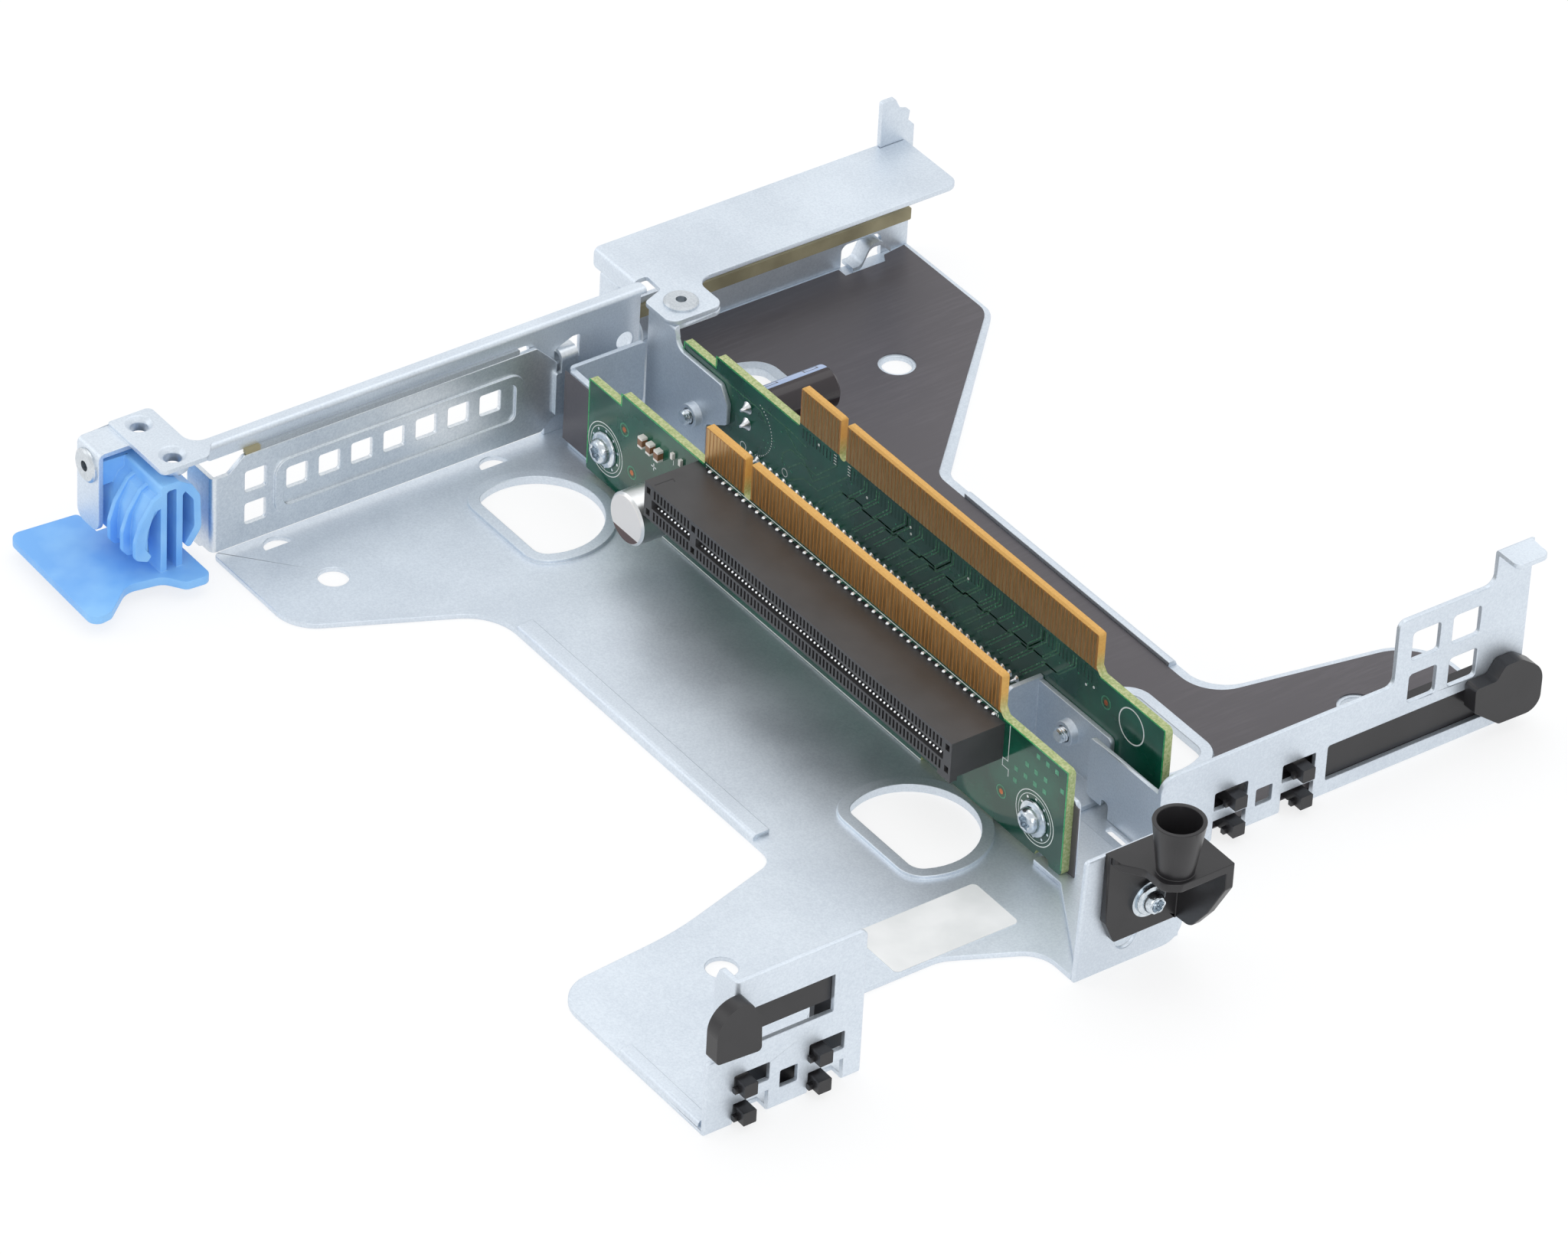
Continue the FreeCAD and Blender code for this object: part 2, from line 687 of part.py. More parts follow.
def make_rear_wall():
    """The tray's rear wall with its side cheek, spring finger and ear."""
    wall = new_body("rear_wall")
    right_end = s.tail_right_y
    pad(wall, "YZ", "tail_right_x", "tail_right_x + sheet", loop([
        (s.rear_side_y, 0), (s.rear_spring_y, 0), (s.rear_spring_y, 5.6, 1.5), (s.rear_ear_y, 5.6, 1.5),
        (s.rear_ear_y, 0), (right_end, 0), (right_end, s.rear_ear_height - 7, 0.5),
        (right_end - 1.4, s.rear_ear_height - 5.5), (right_end - 1.1, s.rear_ear_height - 3.5, 0.4),
        (right_end - 3.2, s.rear_ear_height - 2.8, 0.4), (right_end - 4.6, s.rear_ear_height, 0.5),
        (s.rear_ear_y - 1.5, s.rear_ear_height, 0.5), (s.rear_ear_y - 1.5, s.rear_wall_height),
        (s.rear_side_y, s.rear_wall_height),
    ]))
    pad(wall, "XZ", "rear_side_y", "rear_side_y + sheet", loop([
        (s.tail_right_x, s.sheet), (s.tail_right_x + s.rear_side_reach, s.sheet),
        (s.tail_right_x + s.rear_side_reach, s.rear_side_height - 6, 3),
        (s.tail_right_x + 6, s.rear_side_height, 3), (s.tail_right_x, s.rear_side_height, 0.8),
    ]), round_hole(s.tail_right_x + 4, 11.7, s.rivet_shank_d))
    finger_y = s.rear_spring_y + 1.0
    finger_path = [(0, 1.3), (1.8, 1.3), (3.8, 5.2), (6.2, 5.2), (8.4, 2.8)]
    upper = [(finger_y + y, z + s.sheet * 0.5) for y, z in finger_path]
    lower = [(finger_y + y, z - s.sheet * 0.3) for y, z in reversed(finger_path)]
    rounds = [0, 1.4, 1.6, 1.6, 0]
    finger = [point + (radius,) for point, radius in zip(upper, rounds)]
    finger += [point + (radius,) for point, radius in zip(lower, reversed(rounds))]
    pad(wall, "YZ", "tail_right_x", "tail_right_x + 3.5 * sheet", loop(finger))
    round_edges(wall, "0.9 * sheet", {"x": s.tail_right_x, "y": s.rear_side_y}, {"x": s.tail_right_x, "z": 0})


def make_gasket():
    """Conductive gasket on the inner face of the rear wall."""
    gasket = new_body("rear_gasket")
    pad(gasket, "YZ", "tail_right_x + sheet", "tail_right_x + sheet + gasket_thick",
        rectangle(s.rear_side_y + s.sheet + s.play, s.gasket_z, s.tail_right_y, s.gasket_z + s.gasket_height, 0.3))


def make_film():
    """Insulating film glued on the right half of the floor."""
    film = new_body("floor_insulator")
    inset = 1.0
    outline = loop([
        (s.tail_right_x + s.sheet + s.gasket_thick, s.board_right_y + s.board_thick + 12),
        (s.tail_right_x + 2 * s.rear_side_reach, s.board_right_y + s.board_thick + 3),
        (s.tail_right_x + 2 * s.rear_side_reach, s.board_right_y + 0.6),
        (s.panel_right_x - s.sheet - inset, s.board_right_y + 0.6),
        (s.panel_right_x - s.sheet - inset, s.wing_right_y - inset - 0.2),
        (s.wing_right_corner_x + inset, s.wing_right_y - inset - 0.2, 10),
        (s.neck_right_front_x + inset, s.neck_right_y - s.hem_right_width - s.play, 8),
        (s.neck_right_rear_x - inset, s.neck_right_y - s.hem_right_width - s.play, 5),
        (s.tail_right_corner_x - 0.6 * inset, s.tail_right_y - inset, 5),
        (s.rear_spring_y - 138.5, s.tail_right_y - inset),
        (s.tail_right_x + 2.2, s.rear_ear_y), (s.tail_right_x + 4, s.rear_ear_y - 1),
        (s.tail_right_x + 4, s.rear_spring_y - 1),
        (s.tail_right_x + s.sheet + s.gasket_thick, s.rear_spring_y - 1),
    ])
    rims = vents(s.vent_rim + 2 * s.play)
    holes = [round_hole(x, y, s.tool_hole_d + 1.4) for x, y in tool_holes()[2:]]
    pad(film, "XY", "sheet", "sheet + film", outline, *holes)
    pocket(film, "XY", "sheet / 2", "sheet + 2 * film", rims["rear_right"])
    pocket(film, "XY", "sheet / 2", "sheet + 2 * film", rims["front_right"])


def make_rear_arm():
    """The folded arm over the slot opening, from its post to the latch plate and strap."""
    arm = new_body("rear_arm")
    back = s.arm_x - s.arm_flange
    pad(arm, "XY", "arm_top - sheet", "arm_top", loop([
        (s.arm_x, s.arm_end_y), (back, s.arm_end_y, 0.8), (back, s.latch_plate_right_y, 3),
        (s.latch_plate_rear_x, s.latch_plate_right_y, 1.2), (s.latch_plate_rear_x, s.latch_plate_left_y, 0.5),
        (s.latch_plate_front_x, s.latch_plate_left_y, 1.2),
        (s.latch_plate_front_x, s.latch_plate_right_y + 0.6, 1), (s.arm_x, s.latch_plate_right_y + 2.2),
    ]))
    post = loop([
        (s.arm_left_y, s.arm_top), (s.arm_left_y, s.arm_bottom, 0.8), (s.arm_post_y - 4, s.arm_bottom, 1),
        (s.arm_post_y, s.filler_bottom + 3, 1), (s.arm_post_y, s.sheet),
        (s.tail_step_y, s.sheet, 1), (s.tail_step_y, s.arm_top),
    ])
    clip_window = loop([(1.8, 15.5, 0.4), (7.2, 15.5, 0.4), (7.2, 20.2, 0.4), (5.6, 20.2, 0.4), (1.8, 18.6, 0.4)])
    pad(arm, "YZ", "arm_x - sheet", "arm_x", post, clip_window,
        round_hole(s.post_hole_y, s.post_hole_z, s.post_hole_d))
    strap_x, strap_top = s.latch_plate_rear_x, s.arm_top - s.strap_step
    pad(arm, "XY", "arm_top - strap_step - sheet", "arm_top - strap_step",
        rectangle(strap_x, s.strap_y, strap_x + s.strap_width, s.latch_plate_left_y + 1.0))
    pad(arm, "XZ", "strap_y", "strap_y + sheet", loop([
        (strap_x, strap_top), (strap_x, s.strap_bottom, 2.2), (strap_x + s.strap_width, s.strap_bottom, 2.2),
        (strap_x + s.strap_width, strap_top),
    ]), round_hole(s.latch_hole_rear_x, s.strap_rivet_z, s.rivet_shank_d))
    holes = [(s.latch_hole_rear_x, s.latch_hole_y), (s.latch_hole_front_x, s.latch_hole_y)]
    for x, y in holes:
        pad(arm, "XY", "arm_top - latch_collar_length", "arm_top - sheet / 2", round_hole(x, y, s.latch_collar_d))
    for x, y in holes:
        pocket(arm, "XY", "arm_top - 2 * latch_collar_length", "arm_top + sheet", round_hole(x, y, s.latch_hole_d))
    round_edges(arm, "0.9 * sheet", {"x": s.arm_x, "z": s.arm_top})
    round_edges(arm, "sheet + bend / 2", {"y": s.strap_y, "z": strap_top})
    for number, (x, y) in enumerate(holes, start=1):
        rim = arm.newObject("PartDesign::SubtractiveCone", f"hole_rim_{number}")
        rim.setExpression("Radius1", bound("latch_hole_d / 2"))
        rim.setExpression("Radius2", bound("latch_rim_d / 2"))
        rim.setExpression("Height", bound("latch_rim_depth"))
        rim.Placement = Placement(Vector(x, y, s.arm_top - s.latch_rim_depth), Rotation())
        refresh(rim, arm)


def make_filler():
    """The slot filler bracket with its square vents and pressed frame."""
    filler = new_body("slot_filler_bracket")
    top = s.filler_bottom + s.filler_height
    vent, frame_z = s.filler_vent, s.filler_frame_z
    vents_row = [
        rectangle(s.filler_vent_y + i * s.filler_vent_pitch, s.filler_vent_z,
                  s.filler_vent_y + i * s.filler_vent_pitch + vent, s.filler_vent_z + vent, 0.5)
        for i in range(7)
    ]
    pair_y = s.filler_left_y + 6.8
    vents_pair = [rectangle(pair_y, z, pair_y + vent, z + vent, 0.5) for z in (frame_z + 0.4, frame_z + 7.2)]
    pad(filler, "YZ", "filler_x - filler_thick", "filler_x", loop([
        (s.filler_left_y, s.filler_bottom), (s.filler_right_y - 3, s.filler_bottom, 0.6),
        (s.filler_right_y, s.filler_bottom + 2.6, 0.6), (s.filler_right_y, top - 4.4, 0.6),
        (s.filler_right_y - 4.4, top, 0.6), (s.filler_left_y + 6.6, top, 0.6),
        (s.filler_left_y + 3.4, top - 2.8, 0.6), (s.filler_left_y, top - 2.8),
    ]), *vents_row, *vents_pair)
    width = s.filler_frame_width
    pad(filler, "YZ", "filler_x - filler_thick / 2", "filler_x + filler_frame_rise",
        rectangle(s.filler_frame_start_y, frame_z, s.filler_frame_end_y, frame_z + s.filler_frame_height, 3),
        rectangle(s.filler_frame_start_y + width, frame_z + width, s.filler_frame_end_y - width,
                  frame_z + s.filler_frame_height - width, 3 - 0.9 * width))
    pad(filler, "XZ", "filler_left_y", "filler_left_y + filler_thick", loop([
        (s.filler_x, s.filler_bottom), (s.filler_x, top - 2.8), (s.filler_x - 8, top - 2.8, 1),
        (s.filler_x - 8, s.filler_bottom - 0.7, 1), (s.filler_x - 4, s.filler_bottom - 0.7, 1),
        (s.filler_x - 3, s.filler_bottom),
    ]))
    round_edges(filler, "filler_thick + bend / 2", {"x": s.filler_x, "y": s.filler_left_y})

    strip = new_body("filler_gasket")
    pad(strip, "YZ", "arm_x", "arm_x + gasket_thick",
        rectangle(s.filler_left_y + 7, top, s.filler_right_y - 8, s.arm_bottom + 0.3, 0.2))


def make_spring_clip():
    """The spring clip of the post, over the tongue of the filler bracket."""
    clip = new_body("filler_spring_clip")
    front = s.filler_x + 0.8
    thick = 0.8
    top = 17.6
    path = loop([
        (front, s.filler_bottom + 3, 0), (front, top + 1.2, 1.6), (s.arm_x - s.sheet - 1.4, top + 1.2, 0.8),
        (s.arm_x - s.sheet - 1.4, top - 2.2), (s.arm_x - s.sheet, top - 2.2), (s.arm_x - s.sheet, top + 0.4),
        (front - thick, top + 0.4, 0.8), (front - thick, s.filler_bottom + 3),
    ])
    pad(clip, "XZ", "filler_right_y + 0.5", "filler_right_y + 4", path)
    pad(clip, "YZ", "filler_x", "filler_x + 0.8",
        rectangle(s.filler_right_y - 0.6, s.filler_bottom + 3, s.filler_right_y + 2, s.filler_bottom + 12, 0.4))


def screw_places():
    """Each board screw as x, outer board face y and the direction in which it is driven."""
    right_outer = s.board_right_y + s.board_thick
    return [
        (s.screw_rear_x, 0.0, 1),
        (s.screw_left_front_x, 0.0, 1),
        (s.screw_rear_x + s.board_right_shift, right_outer, -1),
        (s.screw_right_front_x + s.board_right_shift, right_outer, -1),
    ]


def make_carriers():
    """The two folded carriers that stand on the floor and hold the boards."""
    wall_y = s.board_thick + s.film
    left = new_body("left_board_carrier")
    seam, rear, front = s.carrier_seam_y, s.carrier_left_rear_x, s.carrier_left_front_x
    lip = s.wall_x - s.sheet - 2 * s.play
    pad(left, "XY", "sheet", "2 * sheet", loop([
        (rear, wall_y), (front - 7, wall_y), (front - 7, -1), (front + 0.6, -1), (lip, s.wall_start_y + 1),
        (lip, s.wall_end_y - 4, 1), (s.wall_inset_x, s.wall_end_y - 0.6, 2), (s.panel_right_x - 2, seam),
        (rear, seam),
    ]))
    height, middle = s.carrier_left_height, s.carrier_left_middle
    shape = loop([
        (rear, s.sheet), (front, s.sheet), (front, height, 1), (front - 18, height, 1), (front - 20, middle, 1),
        (rear + 26, middle, 1), (rear + 24, height, 1), (rear, height),
    ])
    left_screws = [place for place in screw_places() if place[2] > 0]
    pad(left, "XZ", f"board_thick + film", f"board_thick + film + sheet", shape)
    for x, _, _ in left_screws:
        pad(left, "XZ", "board_thick + film + sheet / 2", "board_thick + film + sheet + boss_length",
            round_hole(x, s.screw_z, s.boss_d))
    for x, _, _ in left_screws:
        pocket(left, "XZ", "0", "board_thick + film + 3 * sheet + boss_length",
               round_hole(x, s.screw_z, s.screw_d + s.play))
    pad(left, "YZ", "carrier_left_rear_x", "carrier_left_rear_x + sheet", loop([
        (wall_y, s.sheet), (seam, s.sheet), (seam, 2 * s.sheet + 1), (s.carrier_flange_y, 2 * s.sheet + 1, 3),
        (s.carrier_flange_y, height + 0.5, 0.8), (wall_y, height + 0.5),
    ]))
    round_edges(left, "sheet + bend / 2", {"x": rear, "y": wall_y})

    right = new_body("right_board_carrier")
    rear, front = s.carrier_right_rear_x, s.carrier_right_front_x
    face = s.board_right_y - s.sheet
    flange_top = s.cover_bottom
    pad(right, "XY", "sheet", "2 * sheet", loop([
        (rear, seam + 4 * s.play + 6), (rear + 4, seam + 4 * s.play), (front, seam + 4 * s.play),
        (front, s.board_right_y), (rear, s.board_right_y),
    ]))
    low, ear = s.carrier_right_rear_height, s.carrier_right_front_height
    pad(right, "XZ", "board_right_y - sheet", "board_right_y", loop([
        (rear, s.sheet), (rear + 18.4, s.sheet), (rear + 18.4, 8.6, 1), (rear + 24.4, 12, 1),
        (rear + 24.4, low - 3.2), (rear + 22.2, low, 1), (rear + 9, low, 2.4), (rear + 8, flange_top),
        (rear, flange_top),
    ]))
    pad(right, "XZ", "board_right_y - sheet", "board_right_y", loop([
        (front - 21, s.sheet), (front, s.sheet), (front, ear, 1), (front - 21, ear),
    ]))
    pad(right, "YZ", "carrier_right_front_x - 21", "carrier_right_front_x - 21 + sheet", loop([
        (seam + 4 * s.play, s.sheet), (s.board_right_y, s.sheet), (s.board_right_y, ear + 0.6),
        (seam + 4 * s.play, ear + 0.6, 1.5),
    ]))
    right_screws = [place for place in screw_places() if place[2] < 0]
    for x, _, _ in right_screws:
        pad(right, "XZ", "board_right_y - sheet - boss_length", "board_right_y - sheet / 2",
            round_hole(x, s.screw_z, s.boss_d))
    for x, _, _ in right_screws:
        pocket(right, "XZ", "board_right_y - 3 * sheet - boss_length", "board_right_y + sheet",
               round_hole(x, s.screw_z, s.screw_d + s.play))
    pad(right, "XY", "cover_bottom - sheet", "cover_bottom", loop([
        (rear, face), (s.cover_tab_front_x, face, 1), (s.cover_tab_front_x, s.cover_tab_right_y, 2),
        (rear, s.cover_tab_right_y, 2),
    ]), round_hole(s.cover_rivet_x, s.cover_rivet_y, s.rivet_shank_d))
    round_edges(right, "0.9 * sheet", {"y": face, "z": s.cover_bottom})

    sheet_film = new_body("board_insulator")
    pad(sheet_film, "XZ", "board_thick", "board_thick + film", loop([
        (s.carrier_left_rear_x - 0.4, 2 * s.sheet), (s.carrier_left_front_x + 0.8, 2 * s.sheet),
        (s.carrier_left_front_x + 0.8, height - 0.6), (s.carrier_left_front_x - 18, height - 0.6, 1),
        (s.carrier_left_front_x - 20, middle - 0.3, 1), (s.carrier_left_rear_x + 26, middle - 0.3, 1),
        (s.carrier_left_rear_x + 24, height - 0.6, 1), (s.carrier_left_rear_x - 0.4, height - 0.6),
    ]), *[round_hole(x, s.screw_z, s.screw_hole_d) for x, _, _ in left_screws])


def board_outline(shift):
    """A riser board seen from the left, with its contact tab and key notch."""
    start, end, key = shift, shift + s.board_edge_length, shift + s.board_key_x
    rear, front = s.board_rear_x + shift, s.board_front_x + shift
    low_end = rear + s.board_low_width
    key_end = key + s.board_key_width
    return loop([
        (rear, s.board_bottom, 0.5), (front - 7.4, s.board_bottom), (front - 7, s.board_bottom + 1.2, 0.5),
        (front - 3.8, s.board_bottom + 1.2, 0.5), (front - 3.4, s.board_bottom), (front, s.board_bottom, 1),
        (front, s.board_top, 1), (end + 1, s.board_top, 0.8), (end, s.board_top + 1.2, 0.5),
        (end, s.board_edge_top, 0.8), (key_end, s.board_edge_top, 0.5), (key_end, s.board_top, 0.9),
        (key, s.board_top, 0.9), (key, s.board_edge_top, 0.5), (start, s.board_edge_top, 0.8),
        (start, s.board_top), (low_end, s.board_top, 0.5), (low_end, s.board_low_top, 0.5),
        (rear, s.board_low_top, 0.5),
    ])


def contact_row(shift, face_y, outward):
    """The edge contacts on one face of a board, as thin gold plates."""
    plates = []
    width, pitch = s.contact_width, s.contact_pitch
    runs = [(0, s.board_key_x), (s.board_key_x + s.board_key_width, s.board_edge_length)]
    y0, y1 = sorted((face_y, face_y + outward * s.contact_thick))
    for run_start, run_end in runs:
        count = int((run_end - run_start) / pitch)
        margin = (run_end - run_start - count * pitch) / 2
        for i in range(count):
            x = shift + run_start + margin + (i + 0.5) * pitch - width / 2
            plates.append(block(x, y0, s.contact_bottom, x + width, y1, s.board_edge_top - s.contact_rim))
    return plates


def make_boards():
    """Both riser boards and their edge contacts."""
    for label, face, shift, low, high in (
        ("left", 0.0, 0.0, "0", "board_thick"),
        ("right", s.board_right_y, s.board_right_shift, "board_right_y", "board_right_y + board_thick"),
    ):
        board = new_body(f"riser_board_{label}")
        holes = [round_hole(x, s.screw_z, s.screw_hole_d) for x, _, way in screw_places()
                 if (way > 0) == (label == "left")]
        pad(board, "XZ", low, high, board_outline(shift), *holes)
        depth, height, top = s.board_bevel_depth, s.board_bevel_height, s.board_edge_top
        bevels = []
        for edge_y, way in ((face, 1), (face + s.board_thick, -1)):
            bevels.append(loop([(edge_y - way * depth, top - 2 * height), (edge_y + 2 * way * depth, top + height),
                                (edge_y - way * depth, top + height)]))
        begin = "-1" if label == "left" else "board_right_shift - 1"
        pocket(board, "YZ", begin, begin + " + board_edge_length + 2", *bevels)
        plates = contact_row(shift, face, -1) + contact_row(shift, face + s.board_thick, 1)
        solid_node(f"edge_contacts_{label}", Part.makeCompound(plates))


def make_slot_connector(label, x0, z0, low, high, mouth_y, inward):
    """A slot connector: housing, card mouth with its key, and two rows of contact cells."""
    housing = new_body(f"slot_connector_{label}")
    x1, z1 = x0 + s.slot_length, z0 + s.slot_height
    middle = (z0 + z1) / 2
    pad(housing, "XZ", low, high, rectangle(x0, z0, x1, z1))
    half = s.slot_mouth / 2
    key = x0 + s.slot_key_x
    key_end = key + s.slot_key_width
    mouths = [
        rectangle(x0 + s.slot_end_wall, middle - half, key, middle + half, 0.2),
        rectangle(key_end, middle - half, x1 - s.slot_end_wall, middle + half, 0.2),
    ]
    if inward > 0:
        mouth_low, mouth_high = low, f"{low} + slot_mouth_depth"
        cell_low, cell_high = low, f"{low} + slot_cell_depth"
    else:
        mouth_low, mouth_high = f"{high} - slot_mouth_depth", high
        cell_low, cell_high = f"{high} - slot_cell_depth", high
    pocket(housing, "XZ", mouth_low, mouth_high, *mouths)
    first = x0 + s.slot_first_x - s.slot_cell_width / 2
    rows = [(z0 + 0.5, z0 + 0.5 + s.slot_cell_height), (z1 - 0.5 - s.slot_cell_height, z1 - 0.5)]
    runs = [(first, 11), (first + 13 * s.slot_cell_pitch, 71)]
    for number, (start, count) in enumerate(runs, start=1):
        cells = pocket(housing, "XZ", cell_low, cell_high,
                       *[rectangle(start, low_z, start + s.slot_cell_width, high_z) for low_z, high_z in rows])
        pattern = housing.newObject("PartDesign::LinearPattern", f"{housing.Name}_cells_{number}")
        pattern.Originals = [cells]
        pattern.Direction = (cells.Profile[0], ["H_Axis"])
        pattern.Occurrences = count
        pattern.Length = (count - 1) * s.slot_cell_pitch
        pattern.Refine = False
        housing.Tip = pattern
        refresh(pattern, housing)
    squares = [rectangle(x, low_z + 0.2, x + 1.1, low_z + 1.5)
               for x in (x0 + 0.6, key + 0.3, x1 - 1.7) for low_z, _ in rows]
    pocket(housing, "XZ", cell_low, cell_high, *squares)
    pad(housing, "XZ", cell_low, cell_high, rectangle(x1 - 3.5, z0 - s.slot_foot, x1, z0 + 0.3))

    pins = []
    back = mouth_y + inward * (s.slot_depth + s.board_thick)
    y0, y1 = sorted((back, back + inward * s.pin_length))
    for number, row_z in enumerate((z0 + 1.4, z0 + 5.7)):
        for i in range(41):
            x = first + number * s.pin_pitch / 2 + i * s.pin_pitch
            pins.append(block(x, y0, row_z, x + s.pin_width, y1, row_z + s.pin_width))
    solid_node(f"connector_pins_{label}", Part.makeCompound(pins))


def make_screws():
    """Four pan-head screws, each through a board into its carrier."""
    screws = []
    radius, head = s.screw_d / 2, s.screw_head_d / 2
    height, recess = s.screw_head_height, s.screw_recess_d / 2
    profile = [
        (0, -s.screw_length), (radius - 0.4, -s.screw_length), (radius, 0.5 - s.screw_length), (radius, 0),
        (head, 0), (head, 0.35 * height), (head * 0.93, 0.7 * height), (head * 0.72, 0.93 * height),
        (head * 0.5, height), (recess, height), (recess * 0.8, 0.4 * height), (0, 0.4 * height),
    ]
    for x, y, way in screw_places():
        screws.append(turned(profile, Vector(x, y, s.screw_z), Vector(0, -way, 0)))
    solid_node("board_screws", Part.makeCompound(screws))


def make_components():
    """The capacitors that stand on the boards."""
    radius, edge = s.can_left_d / 2, 0.5
    length = s.can_left_length
    profile = [
        (0, 0), (radius * 0.95, 0), (radius, edge), (radius, 0.12 * length), (radius * 0.92, 0.17 * length),
        (radius, 0.22 * length), (radius, length - edge), (radius - edge, length), (0, length),
    ]
    solid_node("silver_capacitor", turned(profile, Vector(s.can_left_x, 0, s.can_left_z), Vector(0, -1, 0)))
    radius, length = s.can_d / 2, s.can_right_length
    profile = [
        (0, 0), (radius * 0.95, 0), (radius, edge), (radius, 0.1 * length), (radius * 0.92, 0.14 * length),
        (radius, 0.18 * length), (radius, length - edge), (radius - edge, length), (radius * 0.8, length),
        (radius * 0.78, length - 0.3), (0, length - 0.3),
    ]
    outer = s.board_right_y + s.board_thick
    solid_node("black_capacitor", turned(profile, Vector(s.can_right_x, outer, s.can_right_z), Vector(0, 1, 0)))
    chips = []
    for i in range(3):
        x = s.chip_x + i * s.chip_pitch
        chips.append(block(x, -s.chip_height, s.chip_z - s.chip_length / 2, x + s.chip_width, 0,
                           s.chip_z + s.chip_length / 2))
    for i in range(2):
        x = s.chip_x + (3.7 + i) * s.chip_pitch
        chips.append(block(x, -s.chip_height / 2, s.chip_z + 1.4, x + s.chip_width / 2, 0, s.chip_z + 2.6))
    solid_node("ceramic_capacitors", Part.makeCompound(chips))


def make_cover():
    """The cover plate over the right slot, with its folded side and riveted tab."""
    cover = new_body("slot_cover_plate")
    rear, left, right = s.tail_right_x, s.cover_left_y, s.cover_right_y
    notch = rear + s.cover_side_reach
    front, tab = s.cover_front_x, s.cover_tab_front_x
    pad(cover, "XY", "cover_bottom", "cover_bottom + sheet", loop([
        (rear, left), (notch, left), (notch, left + 2.8, 0.4), (notch + 4.6, left + 2.6, 0.8),
        (notch + 6.4, s.cover_tab_left_y, 1), (tab, s.cover_tab_left_y, 2.2), (tab, s.cover_tab_right_y, 2.2),
        (front, s.cover_tab_right_y, 0.2 * s.cover_tab_right_y / 2), (front, right, 2.5),
        (rear + s.sheet + s.play, right), (rear + s.sheet + s.play, s.rear_ear_y - 1.5 - s.play),
        (rear, s.rear_ear_y - 1.5 - s.play),
    ]), round_hole(s.cover_rivet_x, s.cover_rivet_y, s.rivet_shank_d))
    pad(cover, "XZ", "cover_left_y", "cover_left_y + sheet", loop([
        (rear, s.cover_bottom + s.sheet), (rear, s.cover_bottom + s.sheet - s.cover_side, 0.8),
        (notch, s.cover_bottom + s.sheet - s.cover_side, 0.8), (notch, s.cover_bottom + s.sheet),
    ]))
    round_edges(cover, "sheet + bend / 2", {"y": left, "z": s.cover_bottom + s.sheet})


def rivet(base, direction, grip):
    """A rivet: flat head on the near side, shank through the sheets, bore down its axis."""
    head, shank, bore = s.rivet_d / 2, s.rivet_shank_d / 2, s.rivet_bore_d / 2
    return turned([
        (bore, s.rivet_head), (head - 0.4, s.rivet_head), (head, 0.4), (head, 0), (shank, 0),
        (shank, -grip), (bore, -grip),
    ], base, direction)


def make_rivets():
    """The rivets of the cover, the latch strap and the rear side cheek."""
    top = s.cover_bottom + s.sheet
    solid_node("cover_rivet", rivet(Vector(s.cover_rivet_x, s.cover_rivet_y, top), Vector(0, 0, 1), 2 * s.sheet))
    strap = Vector(s.latch_hole_rear_x, s.strap_y, s.strap_rivet_z)
    solid_node("latch_rivet", rivet(strap, Vector(0, -1, 0), 3 * s.sheet))
    cheek = Vector(s.tail_right_x + 4.0, s.rear_side_y, 11.7)
    solid_node("rear_wall_rivet", rivet(cheek, Vector(0, -1, 0), s.sheet))


